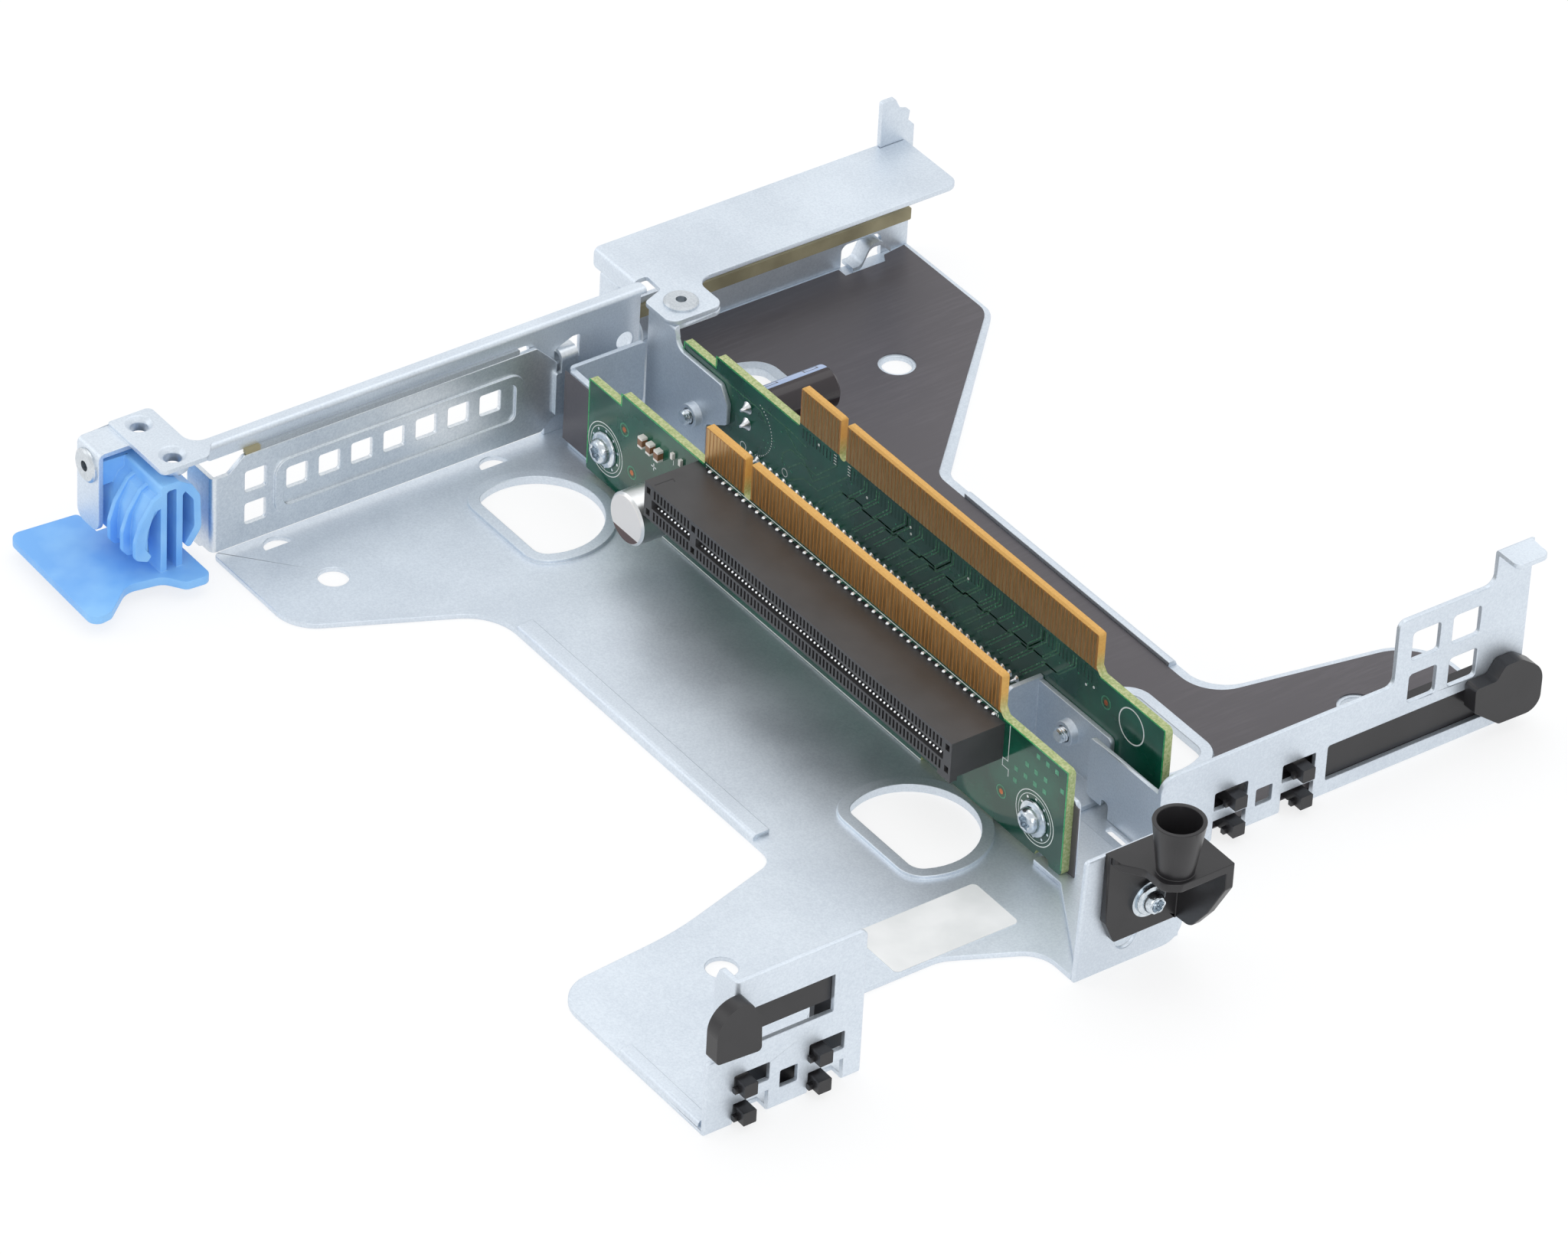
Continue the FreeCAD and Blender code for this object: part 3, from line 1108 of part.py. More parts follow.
def make_funnel_guide():
    """The moulded guide: front plate, shelf, side fin and funnel in one piece."""
    guide = new_body("funnel_guide")
    face, left, right = s.wall_x, s.guide_left_y, s.guide_right_y
    shelf_front = face + s.guide_reach
    pad(guide, "YZ", "wall_x", "wall_x + guide_plate", loop([
        (left, s.guide_bottom + 4.6, 0.5), (left + 2, s.guide_bottom, 0.5), (right - 0.2, s.guide_bottom, 1),
        (right - 0.2, s.guide_top), (left, s.guide_top),
    ]), round_hole(s.guide_screw_y, s.guide_screw_z, s.screw_hole_d))
    pad(guide, "XY", "guide_top - guide_plate", "guide_top", loop([
        (face, left), (face + 4, left + 0.5), (s.funnel_x - 2.5, s.funnel_y - 4.2, 2),
        (s.funnel_x + 2.2, s.funnel_y - 4.2, 2), (shelf_front, s.funnel_y - 1.6, 1), (shelf_front, right),
        (face, right),
    ]))
    pad(guide, "XZ", "guide_right_y - guide_plate", "guide_right_y", loop([
        (face, s.guide_top), (shelf_front, s.guide_top), (shelf_front, s.guide_top - 5, 1),
        (shelf_front - 4, s.guide_top - 12.5, 1), (shelf_front - 8, s.guide_top - 18, 3),
        (face, s.guide_bottom),
    ]))
    radius, top = s.funnel_base_d / 2, s.funnel_top_d / 2
    wall = s.funnel_wall
    cone = guide.newObject("PartDesign::AdditiveCone", "funnel_outside")
    cone.setExpression("Radius1", bound("funnel_base_d / 2"))
    cone.setExpression("Radius2", bound("funnel_top_d / 2"))
    cone.setExpression("Height", bound("funnel_height"))
    cone.Placement = Placement(Vector(s.funnel_x, s.funnel_y, s.guide_top), Rotation())
    bore = guide.newObject("PartDesign::SubtractiveCone", "funnel_inside")
    bore.Radius1 = radius - wall
    bore.Radius2 = top - wall
    bore.setExpression("Height", bound("funnel_height"))
    bore.Placement = Placement(Vector(s.funnel_x, s.funnel_y, s.guide_top), Rotation())
    refresh(cone, bore, guide)
    pocket(guide, "XY", "guide_top - 2 * guide_plate", "guide_top + 1",
           round_hole(s.funnel_x, s.funnel_y, 2 * (radius - wall)))

    plate_face = face + s.guide_plate
    centre = Vector(plate_face, s.guide_screw_y, s.guide_screw_z)
    washer = turned([
        (s.screw_hole_d / 2, 0), (s.washer_d / 2, 0), (s.washer_d / 2, s.washer_thick),
        (s.screw_hole_d / 2, s.washer_thick),
    ], centre, Vector(1, 0, 0))
    solid_node("guide_washer", washer)
    head, shank, recess = 0.4 * s.washer_d, s.screw_d / 2, s.screw_recess_d / 2
    height = s.screw_head_height
    length = s.guide_plate + s.washer_thick + s.sheet + 2
    screw = turned([
        (0, -length), (shank, -length), (shank, 0), (head, 0), (head, 0.35 * height), (head * 0.93, 0.7 * height),
        (head * 0.72, 0.93 * height), (head * 0.5, height), (recess, height), (recess * 0.8, 0.4 * height),
        (0, 0.4 * height),
    ], centre + Vector(s.washer_thick, 0, 0), Vector(1, 0, 0))
    solid_node("guide_screw", screw)


def make_latch():
    """The moulded release latch: thumb tab, ribbed spring body and hooked blades."""
    latch = new_body("release_latch")
    top, wall = s.latch_top, s.latch_wall
    foot = s.tab_top
    left, right = -81.9, -77.4
    tab_low = "tab_top - tab_thick"
    pad(latch, "XY", tab_low, "tab_top", loop([
        (-68.1, -84.6, 1), (-69.2, -98.2, 2), (-40.0, -99.0, 2), (-40.6, -95.0, 1.5), (-45.6, -89.0, 4),
        (-44.4, -82.2, 3), (-40.8, -79.6, 1.5), (-40.4, -74.6, 1.5), (s.latch_rear_x, -74.6, 1.5),
        (s.latch_rear_x, -84.6),
    ]))
    body_low, body_high = "latch_rear_x", "latch_front_x"
    pad(latch, "YZ", body_low, body_high, loop([
        (left, foot - 1), (left, top, 0.6), (right - 0.8, top, 0.6),
        (right + 1.9, 20.3, 1.2), (right + 3.6, 17.5, 2), (right + 3.9, 10.5, 3), (right + 1.4, 7.0, 0.6),
        (right + 0.4, 8.2, 0.4), (right + 2.4, 11.2, 1.5), (right + 2.2, 17.0, 1.5), (right + 0.5, 19.3),
        (right, 18.8), (right, foot - 1),
        (right - wall, foot - 1), (right - wall, 20.6, 0.5), (left + wall, 20.6, 0.5), (left + wall, foot - 1),
    ]))
    blade = loop([
        (left + 0.6, 20.5), (left - 1.4, 19.6, 0.5), (left - 4.0, 15.6, 1), (left - 5.2, 12.0, 2),
        (left - 5.2, 8.4, 1.2), (left - 2.6, 7.2, 0.5), (left - 1.8, 8.2, 0.4), (left - 3.1, 10.2, 1.2),
        (left - 2.6, 13.4, 2), (left - 1.2, 17.2), (left + 0.6, 17.6),
    ])
    wing = loop([
        (left + 0.6, 19.9), (left - 1.2, 19.0), (left - 3.1, 15.4), (left - 3.6, 11.6), (left - 3.6, 7.8),
        (left - 2.3, 7.8), (left - 2.3, 11.6), (left - 1.8, 15.0), (left + 0.6, 18.2),
    ])
    pad(latch, "YZ", "latch_rear_x + 1", "latch_front_x - rib_thick / 2", wing)
    pad(latch, "YZ", "latch_front_x - rib_thick", "latch_front_x", blade)
    lug_end = s.strap_y + s.sheet
    pad(latch, "YZ", "latch_rear_x - rib_thick", "latch_rear_x + 4.6", loop([
        (left + 0.6, 17.0), (lug_end, 17.0), (lug_end, top), (left + 0.6, top),
    ]))
    pocket(latch, "XZ", "strap_y", "strap_y + 4", round_hole(s.latch_hole_rear_x, s.strap_rivet_z, s.rivet_shank_d))
    rib = loop([
        (left + 0.6, 20.5), (left - 1.4, 19.6, 0.5), (left - 4.0, 15.6, 1), (left - 5.2, 12.0, 2),
        (left - 5.2, 8.0, 1.2), (left - 4.0, 6.6, 0.8), (left - 2.9, 6.6), (left - 2.9, 13.0), (left + 0.6, 19.0),
    ])
    for gap in ("rib_pitch", "2 * rib_pitch"):
        pad(latch, "YZ", f"latch_front_x - rib_thick - {gap}", f"latch_front_x - {gap}", rib)


def make_card_guide(label, outer_x, slot_ys, window, side, knob, knob_root):
    """A moulded card guide: strip behind a window, clips through the slots, knob at its end."""
    guide = new_body(f"card_guide_{label}")
    inner = f"{outer_x} - sheet"
    strip_y0, strip_y1, strip_z0, strip_z1 = window
    low_y, high_y = min(slot_ys) - 0.5, max(slot_ys) + s.clip_slot_width + 2.4
    pad(guide, "YZ", f"{inner} - guide_strip", inner, loop([
        (strip_y0, strip_z0), (strip_y1, strip_z0), (strip_y1, strip_z1), (strip_y0, strip_z1),
    ]))
    web_end = high_y if side < 0 else strip_y0 + 1.5
    pad(guide, "YZ", f"{inner} - guide_strip", f"{inner} - guide_strip + 1.2",
        rectangle(low_y, s.clip_slot_lower_height + 0.2, web_end, 11.2, 0.5))
    if side < 0:
        pad(guide, "YZ", f"{inner} - guide_strip", f"{inner} - guide_strip + 1.2",
            rectangle(strip_y1 - 3.4, 10, strip_y1, strip_z0 + 1))
    for y in slot_ys:
        y0 = y + 0.4 + s.clip_slot_width * 0.3 * (side > 0)
        pad(guide, "YZ", f"{inner} - guide_strip", f"{inner} - play",
            rectangle(y0, 1.4, y0 + s.clip_width, 6.0))
        for z in (s.clip_slot_upper_z + 0.5, 1.4):
            pad(guide, "YZ", f"{inner} - guide_strip + 0.5", f"{outer_x} + clip_reach",
                rectangle(y0, z, y0 + s.clip_width, z + 2.6, 0.2))
            pad(guide, "YZ", f"{outer_x} + play", f"{outer_x} + 0.9",
                rectangle(y0 - 0.8, z + 0.2, y0 + 1, z + 1.3))
    pad(guide, "YZ", f"{outer_x} + play", f"{outer_x} + knob_reach", knob)
    pad(guide, "YZ", f"{inner} - guide_strip", f"{outer_x} + play + 0.1", *knob_root)


def make_card_guides():
    """Both card guides, each clipped to its front panel."""
    edge = s.panel_left_step_y
    knob = loop([
        (-88.8, 17.2, 0.8), (-88.8, 27.4, 5), (-82.4, 27.4, 1.6), (-80.1, 23.6, 1), (-79.8, 16.6, 0.8),
    ])
    root = [rectangle(s.strip_left_start_y + s.play, s.strip_left_z + 2.4, -80.2, s.strip_left_z + 6.8)]
    window = (edge + s.sheet + 0.1, s.strip_left_end_y + 1.6, 17.4, 24.6)
    make_card_guide("left", "panel_left_x", (s.clip_left_outer_y, s.clip_left_inner_y), window, -1, knob, root)
    end = s.strip_right_end_y
    knob = loop([
        (end - 5.4, 7.5, 0.8), (end + 0.4, 3.0, 1.2), (end + 9.4, 2.8, 3), (end + 9.4, 11.5, 5), (end + 4.3, 15.2, 3),
        (end + 0.7, 15.2, 1.2), (end - 1.0, 12.6, 1), (end - 5.6, 12.6, 0.8),
    ])
    root = [rectangle(end - 5.0, 7.6, end - 0.5, s.strip_right_z + s.strip_right_height - 0.3, 0.2)]
    window = (s.strip_right_start_y - 1.0, end + 3.0, s.sheet + s.film + 2 * s.play, 11.6)
    make_card_guide("right", "panel_right_x", (s.clip_right_inner_y, s.clip_right_outer_y), window, 1, knob, root)


def make_label():
    """The bare paper label on the floor."""
    label = new_body("label")
    pad(label, "XY", "sheet", "sheet + label_thick",
        rectangle(s.label_x, s.label_y, s.label_x + s.label_width, s.label_y + s.label_length, 1))


def main():
    """Builds every sub-part, checks it and writes its STEP file."""
    make_tray()
    make_left_front_panel()
    make_front_wall()
    make_right_front_panel()
    make_rear_wall()
    make_gasket()
    make_film()
    make_rear_arm()
    make_filler()
    make_spring_clip()
    make_carriers()
    make_boards()
    make_slot_connector("left", s.slot_left_x, s.slot_left_z, "-1 * slot_depth", "0", -s.slot_depth, 1)
    make_slot_connector("right", s.slot_right_x, s.slot_right_z, "board_right_y + board_thick",
                        "board_right_y + board_thick + slot_depth",
                        s.board_right_y + s.board_thick + s.slot_depth, -1)
    make_screws()
    make_components()
    make_cover()
    make_rivets()
    make_funnel_guide()
    make_latch()
    make_card_guides()
    make_label()
    for item in doc.Objects:
        if "Invalid" in item.State or "Error" in item.State:
            raise RuntimeError(f"{item.Label} failed: {item.State}")
    os.makedirs("parts", exist_ok=True)
    for node in nodes:
        shape = node.Shape
        if shape.isNull() or not shape.isValid() or not shape.Solids:
            raise RuntimeError(f"{node.Label} has no valid solid")
        shape.exportStep(f"parts/{node.Label}.step")
        print(f"{node.Label}: {len(shape.Solids)} solids, {shape.Volume:.1f} mm3")


main()
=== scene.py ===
# %% [markdown]
# # A riser cage bracket
#
# The real thing is a folded tray of zinc-plated steel with two green riser boards standing on edge,
# black moulded guides at the front and a blue moulded release latch at the rear. The solids come
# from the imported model. This lesson dresses them: it gives every solid a finish, softens the corners
# that a mould or a press leaves round, and adds the small surfaces that a solid model leaves out,
# such as traces, solder, printed rings and screw recesses.

# %% Load the fixed frame
import json
import math

import bmesh
import bpy
import numpy as np
from mathutils import Matrix, Vector
from mathutils.bvhtree import BVHTree


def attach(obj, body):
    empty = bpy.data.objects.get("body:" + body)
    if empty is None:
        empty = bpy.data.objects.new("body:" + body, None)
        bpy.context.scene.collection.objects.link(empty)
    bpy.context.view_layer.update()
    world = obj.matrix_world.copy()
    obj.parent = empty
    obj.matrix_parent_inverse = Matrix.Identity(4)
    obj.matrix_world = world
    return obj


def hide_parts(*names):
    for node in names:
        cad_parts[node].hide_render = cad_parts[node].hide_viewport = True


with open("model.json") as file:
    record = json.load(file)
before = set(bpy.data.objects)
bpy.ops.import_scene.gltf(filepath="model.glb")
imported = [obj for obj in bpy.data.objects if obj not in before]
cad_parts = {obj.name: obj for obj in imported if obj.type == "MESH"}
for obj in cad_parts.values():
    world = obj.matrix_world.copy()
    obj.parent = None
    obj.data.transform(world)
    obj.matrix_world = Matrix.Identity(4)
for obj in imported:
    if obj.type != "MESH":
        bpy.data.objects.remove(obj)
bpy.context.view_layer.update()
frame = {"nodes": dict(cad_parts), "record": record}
MM = 0.001

# %% [markdown]
# ## Two small helpers for finishes
#
# Colours are easier to read as the hex codes that a paint chart gives, but a shader wants linear
# light, so one function turns one into the other. A second one adds a shader node together with its
# settings and its links, which keeps each finish short enough to read in one go.

# %% Helpers for colours and shader nodes


def hex_colour(code):
    """The linear colour of an sRGB hex code: ((c + 0.055) / 1.055) to the power 2.4 for each channel."""
    channels = np.array([int(code[i:i + 2], 16) for i in (1, 3, 5)]) / 255
    linear = np.where(channels > 0.04045, ((channels + 0.055) / 1.055) ** 2.4, channels / 12.92)
    return (*linear.tolist(), 1.0)


def add(tree, kind, inputs=None, **settings):
    """Adds a shader node, sets it up and fills its sockets with values or links."""
    made = tree.nodes.new("ShaderNode" + kind)
    for name, value in settings.items():
        setattr(made, name, value)
    for key, value in (inputs or {}).items():
        if isinstance(value, bpy.types.NodeSocket):
            tree.links.new(value, made.inputs[key])
        else:
            made.inputs[key].default_value = value
    return made


def new_finish(name, **sockets):
    """A material with its shader's own sockets set, and the Object coordinates that patterns read."""
    finish = bpy.data.materials.new(name)
    finish.use_nodes = True
    tree = finish.node_tree
    shader = tree.nodes["Principled BSDF"]
    for key, value in sockets.items():
        shader.inputs[key.replace("_", " ")].default_value = value
    return finish, tree, shader, add(tree, "TexCoord").outputs["Object"]


def blend_colours(tree, share, low, high):
    """A mix of two colours by a share from 0 to 1."""
    return add(tree, "Mix", {"Factor": share, "A": low, "B": high}, data_type="RGBA").outputs["Result"]


def ramp(tree, value, start, end, low=0.0, high=1.0):
    """The value carried from the span start to end onto low to high, and held there."""
    return add(tree, "MapRange", {"Value": value, "From Min": start, "From Max": end,
                                  "To Min": low, "To Max": high}).outputs["Result"]


def sum_of(tree, kind, *values):
    """A Math node of one operation over two values or links."""
    return add(tree, "Math", dict(enumerate(values)), operation=kind).outputs[0]


print("helpers ready")

# %% [markdown]
# ## Zinc-plated steel
#
# The tray is cut and folded from sheet that was plated in the mill. Zinc crystals give it a fine
# silvery grain of about half a millimetre, which shows as a soft sparkle, and handling leaves it a
# little cloudy. Folds and cut edges are rounded in the mesh further down, so that they catch light.

# %% Sheet metal finishes


def plated_metal(name, dark, light, rough, grain_mm=0.5, relief_share=0.10, metallic=1.0):
    """Plated metal: crystal grain and slow clouds in colour, clouds in roughness, grain as relief."""
    finish, tree, shader, place = new_finish(name, Metallic=metallic)
    grain = add(tree, "TexNoise", {"Vector": place, "Scale": 1 / (grain_mm * MM), "Detail": 3.0,
                                   "Roughness": 0.62}).outputs["Fac"]
    cloud = add(tree, "TexNoise", {"Vector": place, "Scale": 1 / (26 * MM), "Detail": 4.0,
                                   "Roughness": 0.55}).outputs["Fac"]
    tone = sum_of(tree, "ADD", ramp(tree, grain, 0.3, 0.7), ramp(tree, cloud, 0.3, 0.7))
    colour = blend_colours(tree, ramp(tree, tone, 0.4, 1.6), hex_colour(dark), hex_colour(light))
    tree.links.new(colour, shader.inputs["Base Color"])
    tree.links.new(ramp(tree, cloud, 0.3, 0.7, rough - 0.04, rough + 0.08), shader.inputs["Roughness"])
    relief = add(tree, "Bump", {"Strength": relief_share, "Distance": 0.05 * MM, "Height": grain})
    tree.links.new(relief.outputs["Normal"], shader.inputs["Normal"])
    return finish


FINISHES = {
    "plated_steel": plated_metal("zinc_plated_steel", "#D3DCE6", "#E6EEF6", 0.45, 0.4, 0.08, 0.82),
    "spring_steel": plated_metal("nickel_plated_spring_steel", "#D2D9E0", "#ECF1F5", 0.36, 0.4),
    "rivet_steel": plated_metal("upset_rivet_steel", "#C2C9CF", "#DFE4E8", 0.34, 0.4),
    "screw_steel": plated_metal("bright_zinc_screw_steel", "#C6D0D8", "#EDF2F6", 0.17, 0.8, 0.04),
    "solder": plated_metal("tin_solder", "#DDE0E2", "#F6F7F8", 0.24, 0.5, 0.06),
}
print("sheet finishes:", sorted(FINISHES))

# %% [markdown]
# ## Gold contacts
#
# The edge contacts are nickel and a thin layer of hard gold on copper. Each finger is polished along
# its length by the sockets it has been pushed into.

# %% Gold finish


def contact_gold():
    """Hard gold with faint wipe marks along Z."""
    finish, tree, shader, place = new_finish("hard_gold_plating", Metallic=1.0)
    squeezed = add(tree, "Mapping", {"Vector": place, "Scale": (1.0, 1.0, 0.06)}).outputs["Vector"]
    wipe = add(tree, "TexNoise", {"Vector": squeezed, "Scale": 1 / (0.35 * MM), "Detail": 3.0}).outputs["Fac"]
    colour = blend_colours(tree, ramp(tree, wipe, 0.3, 0.7), hex_colour("#CB9C5F"), hex_colour("#DFB67F"))
    tree.links.new(colour, shader.inputs["Base Color"])
    tree.links.new(ramp(tree, wipe, 0.3, 0.7, 0.30, 0.42), shader.inputs["Roughness"])
    return finish


FINISHES["gold_contact"] = contact_gold()
print("gold ready")

# %% [markdown]
# ## Circuit board
#
# A riser board is glass cloth and epoxy, covered with a glossy green solder mask. Seen edge-on it is
# the pale yellow-green of the bare laminate. On the tab that carries the contacts there is no mask,
# and the gold-coloured laminate shows between them and along the bevelled top edge. The faces and
# the edges are told apart by their direction: the faces look along Y.

# %% Board finish
MASK_TOP, AMBER_FADE = 24.2 * MM, (23.6 * MM, 28.0 * MM)


def riser_board():
    """Green mask on the faces, laminate on the edges, amber laminate over the whole contact tab."""
    finish, tree, shader, place = new_finish("solder_mask_on_laminate", IOR=1.6)
    cloud = add(tree, "TexNoise", {"Vector": place, "Scale": 1 / (14 * MM), "Detail": 3.0}).outputs["Fac"]
    weave = add(tree, "TexNoise", {"Vector": place, "Scale": 1 / (0.45 * MM), "Detail": 3.0}).outputs["Fac"]
    mask = blend_colours(tree, ramp(tree, cloud, 0.40, 0.60), hex_colour("#074231"), hex_colour("#0C5A44"))
    height = add(tree, "SeparateXYZ", {"Vector": place}).outputs["Z"]
    on_tab = ramp(tree, height, MASK_TOP, MASK_TOP + 0.2 * MM)
    edge_tab = blend_colours(tree, weave, hex_colour("#CE9440"), hex_colour("#EABB68"))
    cloth = ramp(tree, weave, 0.35, 0.65)
    edge_low = blend_colours(tree, cloth, hex_colour("#93A868"), hex_colour("#C2C896"))
    edge = blend_colours(tree, ramp(tree, height, *AMBER_FADE), edge_low, edge_tab)
    face_tab = blend_colours(tree, weave, hex_colour("#9A6A34"), hex_colour("#B88344"))
    face = blend_colours(tree, on_tab, mask, face_tab)
    facing = add(tree, "SeparateXYZ", {"Vector": add(tree, "NewGeometry").outputs["Normal"]}).outputs["Y"]
    on_face = ramp(tree, sum_of(tree, "ABSOLUTE", facing), 0.93, 0.97)
    tree.links.new(blend_colours(tree, on_face, edge, face), shader.inputs["Base Color"])
    tree.links.new(ramp(tree, on_face, 0.0, 1.0, 0.6, 0.14), shader.inputs["Roughness"])
    relief = add(tree, "Bump", {"Strength": 0.05, "Distance": 0.04 * MM, "Height": weave})
    tree.links.new(relief.outputs["Normal"], shader.inputs["Normal"])
    return finish


FINISHES["green_board"] = riser_board()
print("board ready")

# %% [markdown]
# ## Plastics, film and paper
#
# Black parts are glass-filled nylon with a faint spark-eroded texture. The latch is blue acetal,
# smooth and a little waxy, with painted shade that darkens it down its two blind holes. The film on the right
# of the
# floor is black polyester, glued flat: it has fine scuffs that run across it, a little paler and
# rougher than the rest.

# %% Plastic, film and paper finishes
# Painted shade on the latch: the two bore centres, their radius, and the height above which the shade darkens
# the colour.
LATCH_BORES, BORE_RADIUS, BORE_TOP = ((-60.4, -77.0), (-49.7, -77.0)), 1.35 * MM, 18.5 * MM
SCUFF_ANGLE = math.radians(38)


def moulded(name, dark, light, rough, texture_mm, depth, **sockets):
    """Moulded plastic: tool texture as bump, and slow variation in tone and gloss."""
    finish, tree, shader, place = new_finish(name, **sockets)
    texture = add(tree, "TexNoise", {"Vector": place, "Scale": 1 / (texture_mm * MM),
                                     "Detail": 3.0}).outputs["Fac"]
    cloud = add(tree, "TexNoise", {"Vector": place, "Scale": 1 / (9 * MM), "Detail": 3.0}).outputs["Fac"]
    colour = blend_colours(tree, ramp(tree, cloud, 0.35, 0.65), hex_colour(dark), hex_colour(light))
    tree.links.new(colour, shader.inputs["Base Color"])
    tree.links.new(ramp(tree, cloud, 0.3, 0.7, rough - 0.04, rough + 0.06), shader.inputs["Roughness"])
    relief = add(tree, "Bump", {"Strength": depth, "Distance": 0.05 * MM, "Height": texture})
    tree.links.new(relief.outputs["Normal"], shader.inputs["Normal"])
    return finish


def scuffed_film():
    """Black polyester with fine pale scuffs drawn out across the sheet."""
    finish, tree, shader, place = new_finish("scuffed_black_polyester", IOR=1.6)
    turned = add(tree, "Mapping", {"Vector": place, "Rotation": (0, 0, SCUFF_ANGLE),
                                   "Scale": (1.0, 0.07, 1.0)}).outputs["Vector"]
    scuff = add(tree, "TexNoise", {"Vector": turned, "Scale": 1 / (0.7 * MM), "Detail": 5.0,
                                   "Roughness": 0.65}).outputs["Fac"]
    cloud = add(tree, "TexNoise", {"Vector": place, "Scale": 1 / (24 * MM), "Detail": 3.0}).outputs["Fac"]
    marks = sum_of(tree, "MULTIPLY", ramp(tree, scuff, 0.45, 0.80), ramp(tree, cloud, 0.35, 0.65))
    colour = blend_colours(tree, marks, hex_colour("#524E53"), hex_colour("#656066"))
    tree.links.new(colour, shader.inputs["Base Color"])
    tree.links.new(ramp(tree, marks, 0.0, 1.0, 0.34, 0.50), shader.inputs["Roughness"])
    return finish


def latch_with_painted_bore_shade():
    """Blue acetal, with shade painted dark down the two blind holes that lie under the openings of the steel
    plate.
    """
    finish = moulded("blue_acetal_with_painted_bore_shade", "#76B6F8", "#90CAFE", 0.34, 0.8, 0.04)
    tree = finish.node_tree
    colour = tree.nodes["Principled BSDF"].inputs["Base Color"]
    place = add(tree, "TexCoord").outputs["Object"]
    flat = add(tree, "VectorMath", {0: place, 1: (1.0, 1.0, 0.0)}, operation="MULTIPLY").outputs["Vector"]
    # Painted shade: the colour turns near black down each bore, where little light reaches.
    bore_shade_mask = 0.0
    for x, y in LATCH_BORES:
        centre = (x * MM, y * MM, 0.0)
        far = add(tree, "VectorMath", {0: flat, 1: centre}, operation="DISTANCE").outputs["Value"]
        bore_shade_mask = sum_of(tree, "ADD", bore_shade_mask, ramp(tree, far, BORE_RADIUS, 1.5 * MM, 1.0, 0.0))
    height = add(tree, "SeparateXYZ", {"Vector": place}).outputs["Z"]
    bore_shade_mask = sum_of(tree, "MULTIPLY", bore_shade_mask, ramp(tree, height, BORE_TOP, BORE_TOP + 0.5 * MM))
    dark = blend_colours(tree, bore_shade_mask, colour.links[0].from_socket, hex_colour("#14161C"))
    tree.links.new(dark, colour)
    return finish


FINISHES["black_plastic"] = moulded("glass_filled_black_nylon", "#222123", "#2B2A2C", 0.33, 0.35, 0.10)
FINISHES["blue_plastic"] = latch_with_painted_bore_shade()
FINISHES["black_film"] = scuffed_film()
FINISHES["connector"] = moulded("liquid_crystal_polymer_housing", "#3A393A", "#454445", 0.42, 0.4, 0.06)
FINISHES["gasket_foam"] = moulded("conductive_gasket_cloth", "#8F876B", "#ABA283", 0.75, 0.3, 0.35)
FINISHES["label_paper"] = moulded("bare_label_paper", "#E6E8E8", "#F3F4F4", 0.55, 0.25, 0.05)
print("finishes:", len(FINISHES))

# %% [markdown]
# ## Capacitors and chips
#
# The black capacitor wears a shrunk sleeve with a pale blue stripe along its top left side, which
# marks the negative lead. The stripe is an angle round the can's axis, so it is worked out from X
# and Z, and two thin outlined boxes are printed on it. The silver one is bare aluminium with a
# lacquered end, and that end is darker in a segment low down inside its rim. The ceramic chips are tan
# between tinned ends, told apart by height. The gasket cloth of the slot filler is here too: it is
# silver-grey, and its tan core shows only at the cut end.

# %% Component finishes
BLACK_CAN_X, BLACK_CAN_Z = -16.0 * MM, 16.5 * MM
SILVER_CAN_X, SILVER_CAN_Z = -6.7 * MM, 12.1 * MM
CHIP_Z, CHIP_HALF = 18.0 * MM, 0.62 * MM
STRIPE, BOX_OUTER, BOX_INNER = (92, 140), (103, 118), (105.5, 115.5)
BOX_STARTS, BOX_LENGTH, BOX_LINE = (24.9 * MM, 33.6 * MM), 3.1 * MM, 0.3 * MM
CAN_END_Y, SEGMENT_TOP, RIM_INNER = -11.4 * MM, -2.6 * MM, 4.5 * MM
GASKET_CUT_Y = -60.5 * MM


def axes_of(tree, place):
    """The X, Y and Z of a position as three sockets."""
    split = add(tree, "SeparateXYZ", {"Vector": place})
    return split.outputs["X"], split.outputs["Y"], split.outputs["Z"]


def inside(tree, value, start, end, soft):
    """1 where the value lies between start and end, and 0 outside, over a soft edge."""
    after = ramp(tree, value, start - soft, start + soft)
    before = ramp(tree, value, end - soft, end + soft, 1.0, 0.0)
    return sum_of(tree, "MULTIPLY", after, before)


def striped_sleeve():
    """Black sleeve; the stripe covers the angles from 92 to 140 degrees round the axis along Y."""
    finish, tree, shader, place = new_finish("shrunk_sleeve", Roughness=0.17, IOR=1.55)
    x, y, z = axes_of(tree, place)
    across = sum_of(tree, "SUBTRACT", x, BLACK_CAN_X)
    up = sum_of(tree, "SUBTRACT", z, BLACK_CAN_Z)
    angle = sum_of(tree, "ARCTAN2", up, across)
    soft = math.radians(0.6)
    stripe, outer, inner = (inside(tree, angle, math.radians(start), math.radians(end), soft)
                            for start, end in (STRIPE, BOX_OUTER, BOX_INNER))
    fine = 0.05 * MM
    boxes = 0.0
    for start in BOX_STARTS:
        long_outer = inside(tree, y, start, start + BOX_LENGTH, fine)
        long_inner = inside(tree, y, start + BOX_LINE, start + BOX_LENGTH - BOX_LINE, fine)
        outline = sum_of(tree, "SUBTRACT", sum_of(tree, "MULTIPLY", outer, long_outer),
                         sum_of(tree, "MULTIPLY", inner, long_inner))
        boxes = sum_of(tree, "ADD", boxes, outline)
    paler = blend_colours(tree, stripe, hex_colour("#2A2226"), hex_colour("#A5B8DA"))
    colour = blend_colours(tree, boxes, paler, hex_colour("#2C2B38"))
    tree.links.new(colour, shader.inputs["Base Color"])
    return finish


